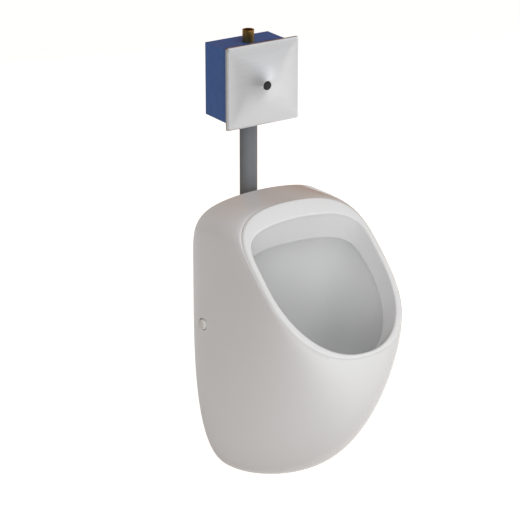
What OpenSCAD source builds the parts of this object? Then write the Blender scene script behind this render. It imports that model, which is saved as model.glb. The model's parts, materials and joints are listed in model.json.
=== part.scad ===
// Wall-hung urinal with a concealed, sensor-operated flush set.
// The frame's origin is the centre of the four wall screws, on the wall plane Y = 0.
// The bowl looks along -Y, X is left to right and Z is up.

/* [Bowl outline on the wall] */
// Half width of the bowl at the wall
back_half_w = 145; // [125:0.1:165]
// Height of the outline's widest line above the wall screws
back_mid_z = 89.6; // [70:0.1:110]
// Height of the outline above its widest line, at the corners
back_top_h = 110.9; // [95:0.1:125]
// Extra height of the hood's crest at the middle
back_crown = 20; // [5:0.5:30]
// Depth of the outline below its widest line
back_drop = 408; // [360:0.1:440]

/* [Mouth] */
// Tilt of the mouth's plane from level, in degrees
mouth_tilt = 41.1; // [35:0.1:47]
// Distance from the basin's back face to the mouth plane's reference point
mouth_reach = 89; // [80:1:105]
// Height of that point above the wall screws
mouth_z = 176.6; // [160:0.1:190]
// Half width of the rim's outer edge
rim_half_w = 131.6; // [120:0.1:140]
// Half width of the opening
mouth_half_w = 119.9; // [105:0.1:124]
// Length of the opening below its widest line
mouth_drop = 164.9; // [140:0.1:168]
// Depth of the plain wall inside the opening
mouth_depth = 55; // [40:1:65]
// Radius of the rim's outer edge
rim_round = 4.5; // [2:0.1:6]
// Radius of the rim's inner edge
mouth_round = 3; // [1:0.1:4]

/* [Bowl inside] */
// Half width of the basin behind the opening's lower edge
basin_half_w = 126.5; // [120:0.5:128]
// Distance from the wall to the basin's back face
basin_back_y = 55; // [52:0.5:60]
// Thickness of the china behind the basin
china_wall = 10; // [8:0.5:12]
// Thickness of the china at the sides of the rear hollow
china_side = 15.8; // [14:0.1:18]
// Half width of the trap pocket
pocket_half_w = 48; // [42:1:56]

/* [Side fixing] */
// Distance from the wall to the side screws
side_screw_y = 26; // [22:0.5:32]
// Radius of the recess round a side cap
side_recess_r = 11.5; // [10:0.1:13]
// Radius of a side cap
cap_r = 9; // [8:0.1:10]
// Radius of the side screw's shank
side_screw_r = 4; // [3:0.1:5]
// Distance from the rear hollow's side to the wall screws
wall_screw_inset = 29.2; // [22:0.2:34]
// Half spacing of the wall screws up and down
wall_screw_z = 25; // [18:1:32]
// Radius of a wall screw
wall_screw_r = 4; // [3:0.1:5]
// Length of a wall screw inside the wall
wall_screw_depth = 60; // [40:1:90]

/* [Waste] */
// Distance from the basin's back face to the drain
drain_reach = 70; // [65:1:75]
// Height of the drain's floor above the bowl's lowest point
drain_rise = 143.4; // [138:0.5:144]
// Radius of the drain hole in the china
drain_r = 24; // [22:0.5:26]
// Inner radius of the trap
trap_r = 17; // [14:0.5:18]
// Wall of the trap
trap_wall = 2.5; // [2:0.1:3]
// Depth of the trap's lowest centre line below the drain's floor
trap_drop = 77; // [72:0.5:79]
// Height of the outlet's centre line above the drain's floor
outlet_rise = 7; // [3:0.5:11]
// Outer radius of the outlet pipe
outlet_r = 25; // [23:0.5:28]
// How far the outlet pipe reaches into the wall
outlet_depth = 90; // [60:1:120]

/* [Water inlet] */
// Height of the inlet above the wall screws
inlet_z = 165; // [162:0.5:168]
// Radius of the inlet hole in the china
inlet_hole_r = 15; // [14:0.5:16]
// Outer radius of the spud's tube
spud_r = 12; // [10:0.5:13]
// Outer radius of the flush pipe
pipe_r = 16; // [15:0.5:17]
// Wall of the flush pipe
pipe_wall = 2; // [1.5:0.1:3]
// Bend radius of the flush pipe
pipe_bend = 30; // [26:1:36]
// Distance of the flush pipe's upright part behind the wall plane
pipe_y = 40; // [36:0.5:44]

/* [Flush plate] */
// Height of the flush plate's centre above the wall screws
plate_z = 417.6; // [400:0.1:460]
// Side of the square flush plate
plate_w = 150; // [142:0.5:170]
// Distance from the wall to the plate's front edge
plate_edge_y = 8; // [7:0.1:9]
// Height of the pressed middle over the edge
plate_rise = 12; // [11:0.5:14]
// Thickness of the plate
plate_t = 1.2; // [0.8:0.1:1.5]
// Width of the bevel round the plate
plate_bevel = 2.5; // [1.5:0.1:3.5]
// Gap between the plate and the wall
plate_gap = 2; // [1.5:0.1:2.5]
// Radius of the sensor's bright ring
bezel_r = 10; // [9:0.1:11]
// Radius of the sensor window
window_r = 7.5; // [6.5:0.1:8]

/* [Wall box] */
// Side of the square wall box
box_w = 132; // [128:0.5:136]
// Depth of the wall box
box_depth = 78; // [76:0.5:90]
// Wall of the box
box_wall = 3; // [2:0.1:4]
// Outer radius of the water supply's nipple
supply_r = 10.48; // [10:0.01:11]
// Radius of the stop valve's ball
ball_r = 11; // [10:0.1:11.5]
// Travel of the solenoid's plunger
plunger_travel = 3; // [2:0.1:4]

/* [Hidden] */

mouth_y = basin_back_y + mouth_reach;
drain_y = basin_back_y + drain_reach;
drain_z = back_mid_z - back_drop + drain_rise;
trap_low_z = drain_z - trap_drop;
outlet_z = drain_z + outlet_rise;
plate_half = plate_w / 2;

// Small clearance between pieces that meet
gap = 0.05;
// Number of points in one ring of the china
ring_n = 64;
// Round pieces
$fn = 48;

// ---------- helpers ----------

module y_rod(r, y0, y1, x = 0, z = 0) {
    translate([x, y1, z]) rotate([90, 0, 0]) cylinder(r = r, h = y1 - y0);
}

module x_rod(r, x0, x1, y = 0, z = 0) {
    translate([x0, y, z]) rotate([0, 90, 0]) cylinder(r = r, h = x1 - x0);
}

module z_rod(r, z0, z1, x = 0, y = 0) {
    translate([x, y, z0]) cylinder(r = r, h = z1 - z0);
}

module block(low, high) {
    translate(low) cube(high - low);
}

// A ring along Z
module z_ring(r_in, r_out, z0, z1, x = 0, y = 0) {
    difference() {
        z_rod(r_out, z0, z1, x, y);
        z_rod(r_in, z0 - 1, z1 + 1, x, y);
    }
}

// A ring along Y
module y_ring(r_in, r_out, y0, y1, x = 0, z = 0) {
    difference() {
        y_rod(r_out, y0, y1, x, z);
        y_rod(r_in, y0 - 1, y1 + 1, x, z);
    }
}

// A ring along X
module x_ring(r_in, r_out, x0, x1, y = 0, z = 0) {
    difference() {
        x_rod(r_out, x0, x1, y, z);
        x_rod(r_in, x0 - 1, x1 + 1, y, z);
    }
}

// A quarter bend of round rod in the plane X = 0: it turns about the line through (y, z)
// from the angle a0, counted from +Y towards +Z
module bend(r, bend_r, y, z, a0) {
    translate([0, y, z]) rotate([a0, 0, 0]) rotate([90, 0, 90])
        rotate_extrude(angle = 90) translate([bend_r, 0]) circle(r = r);
}

// The left piece is the mirror image of the right piece
module left() {
    mirror([1, 0, 0]) children();
}

// ---------- the china's surfaces ----------

// Points of an outline: a superellipse with its own height and exponent above and below its
// widest line, and a crown that lifts the top's middle
function outline(a, w, mid, top_h, top_p, crown, drop, drop_p) =
    let (
        c = cos(a),
        s = sin(a),
        p = s >= 0 ? top_p : drop_p,
        h = s >= 0 ? top_h : drop,
        r = pow(pow(abs(c), p) + pow(abs(s), p), -1 / p)
    )
    [w * r * c, mid + h * r * s + (s > 0 ? crown * (1 - pow(r * c, 2)) : 0)];

// A point given by its place in the mouth's plane and its depth behind that plane
function in_mouth(q, depth) = [
    q[0],
    -mouth_y + q[1] * cos(mouth_tilt) + depth * sin(mouth_tilt),
    mouth_z + q[1] * sin(mouth_tilt) - depth * cos(mouth_tilt)
];

function on_wall(q) = [q[0], 0, q[1]];

// Exponents of the outlines' corners, and places of their widest lines
back_top_p = 5.8;
back_drop_p = 3.23;
rim_mid = -72;
rim_top_h = 123.2;
rim_top_p = 4.31;
rim_crown = 22.6;
rim_drop = 176.2;
rim_drop_p = 2.37;
mouth_mid = -75.4;
mouth_top_h = 94;
mouth_top_p = 5.67;
mouth_crown = 18.5;
mouth_drop_p = 2.2;
// How far the hood's inside leans in over the plain wall's depth
hood_lean = 18;

function back_ring(a, inset = 0) =
    outline(a, back_half_w - inset, back_mid_z, back_top_h - inset, back_top_p,
        back_crown, back_drop - inset, back_drop_p);
function rim_ring(a, inset = 0) =
    outline(a, rim_half_w - inset, rim_mid, rim_top_h - inset, rim_top_p, rim_crown,
        rim_drop - inset, rim_drop_p);
function mouth_ring(a, outset = 0, lean = 0) =
    outline(a, mouth_half_w + outset, mouth_mid, mouth_top_h + outset - lean, mouth_top_p,
        mouth_crown, mouth_drop + outset, mouth_drop_p);

// The outside between wall and rim: for each angle a cubic curve. It leaves the wall along -Y
// and meets the rim. Its handles are longest at the bottom, which makes the belly.
back_handle = 5;
belly_handle = 136;
waist_pull = 9.9;
side_pull_x = 6.4;
side_pull_z = 19.9;
hood_pull_y = 14;
belly_pull_y = -10.4;
belly_pull_z = -0.4475 * back_drop;

function cubic(a, b, c, d, t) =
    pow(1 - t, 3) * a + 3 * pow(1 - t, 2) * t * b + 3 * (1 - t) * t * t * c + pow(t, 3) * d;

function skin_point(a, t) =
    let (
        up = pow(max(0, sin(a)), 2),
        down = pow(max(0, -sin(a)), 2),
        side = 1 - up - down,
        b = on_wall(back_ring(a)),
        r = in_mouth(rim_ring(a), rim_round),
        reach = back_handle * (side + up) + belly_handle * down,
        b1 = b + [-waist_pull * cos(a) * side, -reach, 0],
        r1 = r + [
            side_pull_x * cos(a),
            hood_pull_y * up + belly_pull_y * down,
            side_pull_z * side + belly_pull_z * down
        ]
    )
    cubic(b, b1, r1, r, t);

// The basin: each ring is an outline in the plane through a point at its back and a point at
// its front, given as [back y, back z, front y, front z, half width]
basin_front_y = in_mouth([0, mouth_mid - mouth_drop], mouth_depth)[1];
basin_front_z = in_mouth([0, mouth_mid - mouth_drop], mouth_depth)[2];
skirt_y = in_mouth([0, mouth_mid + mouth_top_h + mouth_crown - hood_lean], mouth_depth)[1];
skirt_z = in_mouth([0, mouth_mid + mouth_top_h + mouth_crown - hood_lean], mouth_depth)[2];
drain_seat_r = drain_r + 9;

// The basin's heights and depths stretch with the room over the drain
basin_stretch = (skirt_z + 31 - drain_z) / 353.6;
function over_drain(z) = drain_z + z * basin_stretch;

basin_stations = [
    [skirt_y + 7, skirt_z + 3, basin_front_y - 4, basin_front_z - 1, basin_half_w - 3],
    [skirt_y + 13, skirt_z + 24, basin_front_y - 7, basin_front_z - 6, basin_half_w],
    [skirt_y + 20, skirt_z + 38, basin_front_y - 8, basin_front_z - 10, basin_half_w],
    [-basin_back_y - 8, skirt_z + 40, basin_front_y - 8, basin_front_z - 14, basin_half_w],
    [-basin_back_y, skirt_z + 31, basin_front_y - 7, basin_front_z - 21, basin_half_w],
    [-basin_back_y, over_drain(297), basin_front_y - 3, basin_front_z - 44, basin_half_w - 1],
    [-basin_back_y, over_drain(241), basin_front_y + 6, over_drain(87), basin_half_w - 3],
    [-basin_back_y, over_drain(185), basin_front_y + 19, over_drain(63), basin_half_w - 8],
    [-basin_back_y - 1, over_drain(130), basin_front_y + 36, over_drain(43), basin_half_w - 16],
    [-basin_back_y - 4, over_drain(83), basin_front_y + 58, over_drain(27), basin_half_w - 28],
    [-basin_back_y - 11, over_drain(47), basin_front_y + 84, over_drain(15), basin_half_w - 44],
    [-basin_back_y - 22, over_drain(21), basin_front_y + 110, over_drain(6), basin_half_w - 66],
    [-drain_y + drain_seat_r + 4, drain_z + 6, -drain_y - drain_seat_r - 5, drain_z + 3,
        drain_seat_r + 7],
    [-drain_y + drain_seat_r, drain_z, -drain_y - drain_seat_r, drain_z, drain_seat_r]
];
// Corner exponents of the basin, from square at the back to round at the drain
function basin_p(k, first) = let (f = k / (len(basin_stations) - 1)) first + (2 - first) * f * f;

function basin_point(a, k) =
    let (
        s = basin_stations[k],
        half = [s[0] - s[2], s[1] - s[3]] / 2,
        mid = [s[0] + s[2], s[1] + s[3]] / 2,
        q = outline(a, s[4], 0, 1, basin_p(k, 4.6), 0, 1, basin_p(k, 2.3))
    )
    [q[0], mid[0] + half[0] * q[1], mid[1] + half[1] * q[1]];

skin_steps = 13;
round_steps = 3;
ring_angles = [for (i = [0 : ring_n - 1]) 360 * i / ring_n];

china_rings = concat(
    [for (k = [0 : skin_steps]) [for (a = ring_angles) skin_point(a, k / skin_steps)]],
    [for (k = [1 : round_steps])
        let (u = 90 * k / round_steps)
        [for (a = ring_angles)
            in_mouth(rim_ring(a, rim_round * (1 - cos(u))), rim_round * (1 - sin(u)))]],
    [for (k = [0 : round_steps])
        let (u = 90 * k / round_steps)
        [for (a = ring_angles)
            in_mouth(mouth_ring(a, mouth_round * (1 - sin(u))), mouth_round * (1 - cos(u)))]],
    [for (k = [1 : 3])
        [for (a = ring_angles)
            in_mouth(mouth_ring(a, 0, hood_lean * k / 3),
                mouth_round + (mouth_depth - mouth_round) * k / 3)]],
    [for (k = [0 : len(basin_stations) - 1]) [for (a = ring_angles) basin_point(a, k)]]
);

// A closed skin over a list of rings, with a flat fan at both ends
module ring_solid(rings) {
    n = len(rings[0]);
    m = len(rings);
    sides = [for (j = [0 : m - 2]) for (i = [0 : n - 1])
        let (i2 = (i + 1) % n)
        each [
            [j * n + i, j * n + i2, (j + 1) * n + i2],
            [j * n + i, (j + 1) * n + i2, (j + 1) * n + i]
        ]];
    start = [for (i = [1 : n - 2]) [0, i + 1, i]];
    finish = [for (i = [1 : n - 2]) [(m - 1) * n, (m - 1) * n + i, (m - 1) * n + i + 1]];
    polyhedron(points = [for (r = rings) each r], faces = concat(sides, start, finish),
        convexity = 8);
}

// A ring-shaped skin: the last ring joins the first again
module loop_solid(rings) {
    n = len(rings[0]);
    m = len(rings);
    polyhedron(
        points = [for (r = rings) each r],
        faces = [for (j = [0 : m - 1]) for (i = [0 : n - 1])
            let (i2 = (i + 1) % n, j2 = (j + 1) % m)
            each [
                [j * n + i, j * n + i2, j2 * n + i2],
                [j * n + i, j2 * n + i2, j2 * n + i]
            ]],
        convexity = 8
    );
}

// ---------- bowl ----------

rear_y = basin_back_y - china_wall;
rear_half_w = back_half_w - china_side;
china_under_z = drain_z - china_wall - 1;
side_face_x = back_half_w - 0.4;
wall_screw_x = rear_half_w - wall_screw_inset;
recess_floor_x = side_face_x - 7.4;

// The rear hollow follows the outline, one china wall further in
module rear_hollow() {
    points = [for (a = ring_angles)
        outline(a, rear_half_w, back_mid_z, back_top_h - china_wall - 2, back_top_p,
            back_crown - 4, back_drop - 2 * china_wall, back_drop_p)];
    translate([0, 1, 0]) rotate([90, 0, 0]) linear_extrude(height = rear_y + 1) polygon(points);
}

// The pocket under the basin, for the trap: its outline in the Y-Z plane
module trap_pocket() {
    profile = [
        [-rear_y + 10, drain_z + 90], [-rear_y, drain_z + 90], [-rear_y - 9, drain_z + 55],
        [-rear_y - 34, china_under_z + 18], [-rear_y - 45, china_under_z],
        [-drain_y - 55, china_under_z], [-drain_y - 62, drain_z - 53],
        [-drain_y - 22, drain_z - 83], [-drain_y + 25, drain_z - 105],
        [-rear_y - 21, drain_z - 117], [-rear_y + 10, drain_z - 121]
    ];
    rotate([90, 0, 90]) translate([0, 0, -pocket_half_w])
        linear_extrude(height = 2 * pocket_half_w) polygon(profile);
}

module bowl() {
    color("whitesmoke") difference() {
        ring_solid(china_rings);
        rear_hollow();
        trap_pocket();
        z_rod(drain_r, china_under_z - 2, drain_z + 2, 0, -drain_y);
        y_rod(inlet_hole_r, -basin_back_y - 3, -rear_y + 3, 0, inlet_z);
        for (s = [-1, 1]) {
            x_rod(side_recess_r, min(s * recess_floor_x, s * 150), max(s * recess_floor_x, s * 150),
                -side_screw_y);
            x_rod(sleeve_r + gap, min(s * 120, s * 150), max(s * 120, s * 150), -side_screw_y);
        }
    }
}

// ---------- side fixing ----------

sleeve_r = 6.5;
sleeve_flange_r = 10;
sleeve_flange_t = 1.5;
bracket_t = 3;
bracket_x = rear_half_w - 3.2;
bracket_half_h = 42;
nut_t = 7;
head_r = 6.6;
head_t = 4;

module bracket_right() {
    color("gainsboro") difference() {
        union() {
            block([bracket_x - 44, -bracket_t, -bracket_half_h], [bracket_x, 0, bracket_half_h]);
            block([bracket_x - bracket_t, -rear_y + 3, -20], [bracket_x, 0, 20]);
            x_rod(8, bracket_x - bracket_t - nut_t, bracket_x - bracket_t + 1, -side_screw_y);
        }
        for (s = [-1, 1])
            y_rod(wall_screw_r + 0.5, -bracket_t - 1, 1, wall_screw_x, s * wall_screw_z);
        x_rod(side_screw_r + gap, bracket_x - 20, bracket_x + 1, -side_screw_y);
    }
}

module side_sleeve_right() {
    color("white") difference() {
        union() {
            x_rod(sleeve_r, bracket_x + gap, recess_floor_x + 1, -side_screw_y);
            x_rod(sleeve_flange_r, recess_floor_x + gap, recess_floor_x + sleeve_flange_t,
                -side_screw_y);
        }
        x_rod(side_screw_r + 0.3, bracket_x - 1, recess_floor_x + 9, -side_screw_y);
    }
}

module side_screw_right() {
    seat = recess_floor_x + sleeve_flange_t + gap;
    color("silver") difference() {
        union() {
            x_rod(side_screw_r, bracket_x - bracket_t - nut_t - 4, seat + 1, -side_screw_y);
            x_rod(head_r, seat, seat + head_t, -side_screw_y);
        }
        translate([seat + 1.5, -side_screw_y, 0]) rotate([0, 90, 0])
            cylinder(r = 2.9, h = head_t, $fn = 6);
    }
}

module cap_right() {
    base = recess_floor_x + sleeve_flange_t + gap;
    top = side_face_x - 0.2;
    color("white") difference() {
        union() {
            x_rod(cap_r, base + 0.1, top - 1, -side_screw_y);
            translate([top - 1, -side_screw_y, 0]) rotate([0, 90, 0])
                cylinder(r1 = cap_r, r2 = cap_r - 1, h = 1);
        }
        x_rod(head_r + 0.06, base - 1, base + head_t + 0.3, -side_screw_y);
    }
}

module bracket_left() { left() bracket_right(); }
module side_sleeve_left() { left() side_sleeve_right(); }
module side_screw_left() { left() side_screw_right(); }
module cap_left() { left() cap_right(); }

washer_t = 1.6;

module wall_washers() {
    color("silver") for (x = [-1, 1], z = [-1, 1])
        y_ring(wall_screw_r + 0.2, 8, -bracket_t - gap - washer_t, -bracket_t - gap,
            x * wall_screw_x, z * wall_screw_z);
}

module wall_screws() {
    head_y = -bracket_t - 2 * gap - washer_t;
    color("silver") for (x = [-1, 1], z = [-1, 1])
        translate([x * wall_screw_x, 0, z * wall_screw_z]) {
            y_rod(wall_screw_r - 0.4, head_y - 1, 0.4);
            y_rod(wall_screw_r, 0.3, wall_screw_depth - 8);
            translate([0, wall_screw_depth - 8, 0]) rotate([-90, 0, 0])
                cylinder(r1 = wall_screw_r, r2 = 0.8, h = 8);
            translate([0, head_y, 0]) rotate([90, 0, 0]) cylinder(r = 7.2, h = 5.3, $fn = 6);
        }
}

// ---------- waste ----------

seal_t = 2;
flange_t = 2;
flange_r = drain_seat_r - 1.5;
waste_tail_r = drain_r - 0.6;
waste_bore_r = 19.5;
waste_top = drain_z + seal_t + 2 * gap + flange_t;
nut_top = china_under_z - gap - 2.5 - gap;
waste_tail_z = china_under_z - 26;

module waste_strainer() {
    z0 = waste_top + gap;
    color("silver") difference() {
        union() {
            z_rod(flange_r - 4, z0, z0 + 1.6, 0, -drain_y);
            z_ring(waste_bore_r - 2, waste_bore_r - 0.6, z0 - 8, z0 + 0.5, 0, -drain_y);
            z_rod(5, z0, z0 + 5, 0, -drain_y);
        }
        for (ring = [[12, 6, 2.2], [17.5, 12, 2.4]])
            for (k = [0 : ring[1] - 1])
                let (a = 360 * k / ring[1])
                z_rod(ring[2], z0 - 2, z0 + 4, ring[0] * cos(a) * 0.9,
                    -drain_y + ring[0] * sin(a) * 0.9, $fn = 24);
    }
}

module waste_body() {
    color("silver") difference() {
        union() {
            z_rod(flange_r, waste_top - flange_t, waste_top, 0, -drain_y);
            z_rod(waste_tail_r, waste_tail_z, waste_top - 1, 0, -drain_y);
        }
        z_rod(waste_bore_r, waste_tail_z - 1, waste_top + 1, 0, -drain_y);
    }
}

module waste_seal_upper() {
    color("dimgray") z_ring(drain_r, flange_r, drain_z + gap, drain_z + gap + seal_t, 0, -drain_y);
}

module waste_seal_lower() {
    color("dimgray") z_ring(waste_tail_r + gap, flange_r, china_under_z - gap - 2.5,
        china_under_z - gap, 0, -drain_y);
}

module waste_nut() {
    color("white") difference() {
        translate([0, -drain_y, nut_top - 8]) cylinder(r = flange_r + 1, h = 8, $fn = 12);
        z_rod(waste_tail_r + gap, nut_top - 9, nut_top + 1, 0, -drain_y);
    }
}

trap_out = trap_r + trap_wall;
trap_bend_r = 26;
outlet_bend_r = 22;
trap_turn_z = trap_low_z + trap_bend_r;
rise_y = -basin_back_y + 7;
cup_top = nut_top - 8 - gap;
cup_r = waste_tail_r + 3;
cup_floor = waste_tail_z - 0.5;

// The trap's way: down, round, up and back through the wall, as solid rod of radius r
module trap_way(r, over) {
    z_rod(r, trap_turn_z, cup_floor + over, 0, -drain_y);
    bend(r, trap_bend_r, -drain_y + trap_bend_r, trap_turn_z, 180);
    y_rod(r, -drain_y + trap_bend_r, rise_y - trap_bend_r, 0, trap_low_z);
    bend(r, trap_bend_r, rise_y - trap_bend_r, trap_turn_z, 270);
    z_rod(r, trap_turn_z, outlet_z - outlet_bend_r, 0, rise_y);
    bend(r, outlet_bend_r, rise_y + outlet_bend_r, outlet_z - outlet_bend_r, 90);
    y_rod(r, rise_y + outlet_bend_r, outlet_z_end + over, 0, outlet_z);
}
outlet_z_end = 24;

module trap_body() {
    color("white") difference() {
        union() {
            trap_way(trap_out, 0);
            z_rod(cup_r, cup_floor - 3, cup_top, 0, -drain_y);
        }
        trap_way(trap_r, 1);
        z_rod(waste_tail_r + gap, cup_floor, cup_top + 1, 0, -drain_y);
        z_rod(waste_tail_r + 1.5, cup_top - 5, cup_top + 1, 0, -drain_y);
    }
}

module trap_seal() {
    color("dimgray") z_ring(waste_tail_r + gap, waste_tail_r + 1.5 - gap, cup_top - 5 + gap,
        cup_top - gap, 0, -drain_y);
}

outlet_wall = 1.8;

module outlet_pipe() {
    color("darkslategray") y_ring(outlet_r - outlet_wall, outlet_r, 6, outlet_depth, 0, outlet_z);
}

module outlet_seal() {
    color("dimgray") union() {
        y_ring(trap_out + gap, outlet_r - outlet_wall - gap, 4, 22, 0, outlet_z);
        y_ring(trap_out + gap, outlet_r, 3, 6 - gap, 0, outlet_z);
    }
}

// ---------- water inlet ----------

spud_wall = 2.5;
spud_tail_y = -22;
spud_end_y = -basin_back_y - 9;
spud_flange_y = -rear_y + gap + seal_t + gap;

module inlet_seal() {
    color("dimgray") y_ring(spud_r + gap, 19, -rear_y + gap, -rear_y + gap + seal_t, 0, inlet_z);
}

module inlet_spud() {
    color("gold") difference() {
        union() {
            y_rod(spud_r, spud_end_y, spud_tail_y, 0, inlet_z);
            y_rod(18, spud_flange_y, spud_flange_y + 3, 0, inlet_z);
        }
        y_rod(spud_r - spud_wall, spud_end_y - 1, spud_tail_y + 1, 0, inlet_z);
    }
}

module inlet_nut() {
    color("gold") difference() {
        translate([0, -basin_back_y - gap, inlet_z]) rotate([90, 0, 0])
            cylinder(r = spud_r + 3.5, h = 5, $fn = 6);
        y_rod(spud_r + gap, -basin_back_y - 8, -basin_back_y + 1, 0, inlet_z);
    }
}

// The spreader is a cup over the spud's end, open in a slot along its lower front
module spreader() {
    y0 = -basin_back_y - gap - 5 - gap;
    color("silver") difference() {
        union() {
            y_rod(spud_r + 2, y0 - 9, y0, 0, inlet_z);
            translate([0, y0 - 9, inlet_z]) rotate([90, 0, 0])
                cylinder(r1 = spud_r + 2, r2 = spud_r - 2, h = 3);
        }
        y_rod(spud_r + gap, spud_end_y - gap, y0 + 1, 0, inlet_z);
        y_rod(spud_r - spud_wall, y0 - 9, y0 + 1, 0, inlet_z);
        block([-9, y0 - 8.5, inlet_z - 16], [9, spud_end_y - 0.5, inlet_z - 7]);
    }
}

spud_nut_y = spud_tail_y + 3;
pipe_tip_y = spud_tail_y + gap;

module spud_nut() {
    color("white") difference() {
        translate([0, spud_nut_y + 7, inlet_z]) rotate([90, 0, 0])
            cylinder(r = pipe_r + 5, h = 24, $fn = 12);
        y_rod(pipe_r + gap, pipe_tip_y - gap, spud_nut_y + 8, 0, inlet_z);
        y_rod(spud_r + gap, spud_nut_y - 18, pipe_tip_y, 0, inlet_z);
    }
}

pipe_turn_z = inlet_z + pipe_bend;
pipe_turn_y = pipe_y - pipe_bend;
valve_low_z = plate_z - 58;

module pipe_way(r, over) {
    y_rod(r, pipe_tip_y - over, pipe_turn_y, 0, inlet_z);
    bend(r, pipe_bend, pipe_turn_y, pipe_turn_z, 270);
    z_rod(r, pipe_turn_z, valve_low_z - gap + over, 0, pipe_y);
}

module flush_pipe() {
    color("dimgray") difference() {
        pipe_way(pipe_r, 0);
        pipe_way(pipe_r - pipe_wall, 1);
    }
}

module flush_pipe_nut() {
    color("goldenrod") difference() {
        translate([0, pipe_y, box_low + box_wall + 1.5])
            cylinder(r = max(pipe_r, valve_r) + 4.5, h = 13.5, $fn = 12);
        z_rod(pipe_r + gap, valve_low_z - 7, valve_low_z, 0, pipe_y);
        z_rod(valve_r + gap, valve_low_z - gap, valve_low_z + 15, 0, pipe_y);
    }
}

// ---------- wall box and valve ----------

box_front = 0.1;
box_half = box_w / 2;
box_low = plate_z - box_half;
box_high = plate_z + box_half;
boss_r = 6;
boss_at = plate_half - 17;

module wall_box() {
    inner = box_half - box_wall;
    color("royalblue") difference() {
        union() {
            difference() {
                block([-box_half, box_front, box_low], [box_half, box_depth, box_high]);
                block([-inner, box_front - 1, plate_z - inner],
                    [inner, box_depth - box_wall, plate_z + inner]);
            }
            for (x = [-1, 1], z = [-1, 1])
                y_rod(boss_r, box_front, box_depth - 1, x * boss_at, plate_z + z * boss_at);
            for (z = [-30, 20])
                y_rod(7, pipe_y + valve_r + gap, box_depth - 1, 0, plate_z + z);
        }
        for (x = [-1, 1], z = [-1, 1])
            y_rod(1.6, box_front - 1, box_front + 30, x * boss_at, plate_z + z * boss_at);
        z_rod(gland_r + gap, box_low - 1, box_low + box_wall + 1, 0, pipe_y);
        z_rod(supply_r + gap, box_high - box_wall - 1, box_high + 1, 0, pipe_y);
    }
}

gland_r = pipe_r + 3;

module box_gland() {
    color("dimgray") difference() {
        union() {
            z_rod(gland_r, box_low - 2, box_low + box_wall + 1, 0, pipe_y);
            z_rod(gland_r + 3, box_low - 4, box_low - gap, 0, pipe_y);
        }
        z_rod(pipe_r + gap, box_low - 6, box_low + 8, 0, pipe_y);
    }
}

valve_r = 16;
valve_high_z = plate_z + 58;
stop_z = plate_z + 34;
regulator_z = plate_z - 38;
boss_front_y = pipe_y - valve_r - 3;
seat_x = 15;
chamber_r = 14;
chamber_end_x = 26;
seat_bore_r = 5;
way_r = 6;
supply_bore_r = 8;
supply_len = 21;
supply_seat_z = valve_high_z - 10;

module supply_nipple() {
    color("goldenrod") difference() {
        union() {
            z_rod(supply_r - 0.2, supply_seat_z + gap, box_high + 2, 0, pipe_y);
            z_rod(supply_r, box_high + 1, box_high + 1 + supply_len, 0, pipe_y);
        }
        z_rod(supply_bore_r - 1, supply_seat_z - 1, box_high + supply_len + 2, 0, pipe_y);
    }
}

module valve_body() {
    color("goldenrod") difference() {
        union() {
            z_rod(valve_r, valve_low_z, valve_high_z, 0, pipe_y);
            y_rod(10, boss_front_y, pipe_y, 0, stop_z);
            y_rod(9, boss_front_y, pipe_y, 0, regulator_z);
            x_rod(chamber_r + 4, 0, chamber_end_x, pipe_y, plate_z);
        }
        z_rod(supply_r + gap, supply_seat_z, valve_high_z + 1, 0, pipe_y);
        z_rod(ball_r + 0.5, stop_z - ball_r - 1, supply_seat_z + 1, 0, pipe_y);
        z_rod(way_r, plate_z + 8, stop_z, 0, pipe_y);
        y_rod(5.5, boss_front_y - 1, pipe_y - ball_r + 2, 0, stop_z);
        x_rod(3.5, -2, seat_x + 1, pipe_y, plate_z + 10);
        x_rod(chamber_r, seat_x + 3, chamber_end_x + 1, pipe_y, plate_z);
        x_ring(seat_bore_r + 2, chamber_r, seat_x, seat_x + 4, pipe_y, plate_z);
        x_rod(seat_bore_r, -2, seat_x + 4, pipe_y, plate_z);
        z_rod(way_r, valve_low_z - 1, plate_z, 0, pipe_y);
        y_rod(4 + gap, boss_front_y - 1, pipe_y - way_r + 2, 0, regulator_z);
    }
}

spindle_r = 4;

module stop_ball() {
    color("silver") difference() {
        translate([0, pipe_y, stop_z]) sphere(r = ball_r);
        z_rod(way_r, stop_z - ball_r - 1, stop_z + ball_r + 1, 0, pipe_y);
        block([-1.6, pipe_y - ball_r - 1, stop_z - 4], [1.6, pipe_y - ball_r + 2.5, stop_z + 4]);
    }
}

module ball_seats() {
    seat_h = 4;
    color("ivory") for (z = [stop_z - ball_r - 1 + gap, stop_z + ball_r + 1 - gap - seat_h])
        difference() {
            z_rod(ball_r + 0.5 - gap, z, z + seat_h, 0, pipe_y);
            z_rod(way_r, z - 1, z + seat_h + 1, 0, pipe_y);
            translate([0, pipe_y, stop_z]) sphere(r = ball_r + gap);
        }
}

spindle_front_y = boss_front_y - 7;

module stop_spindle() {
    tongue_y = pipe_y - ball_r + 2.5 - 0.4;
    color("silver") difference() {
        union() {
            y_rod(spindle_r, spindle_front_y, pipe_y - ball_r - 0.3, 0, stop_z);
            y_rod(5.4, pipe_y - ball_r - 3, pipe_y - ball_r - 0.3, 0, stop_z);
            block([-1.5, pipe_y - ball_r - 1, stop_z - 3.5], [1.5, tongue_y, stop_z + 3.5]);
        }
        block([-0.8, spindle_front_y - 1, stop_z - 5], [0.8, spindle_front_y + 2, stop_z + 5]);
    }
}

module spindle_gland() {
    color("goldenrod") difference() {
        union() {
            y_rod(5.4, boss_front_y + gap, pipe_y - ball_r - 3 - gap, 0, stop_z);
            translate([0, boss_front_y - gap, stop_z]) rotate([90, 0, 0])
                cylinder(r = 9, h = 4, $fn = 6);
            y_rod(5.4, boss_front_y - 1, boss_front_y + 1, 0, stop_z);
        }
        y_rod(spindle_r + gap, boss_front_y - 8, pipe_y, 0, stop_z);
    }
}

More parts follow.
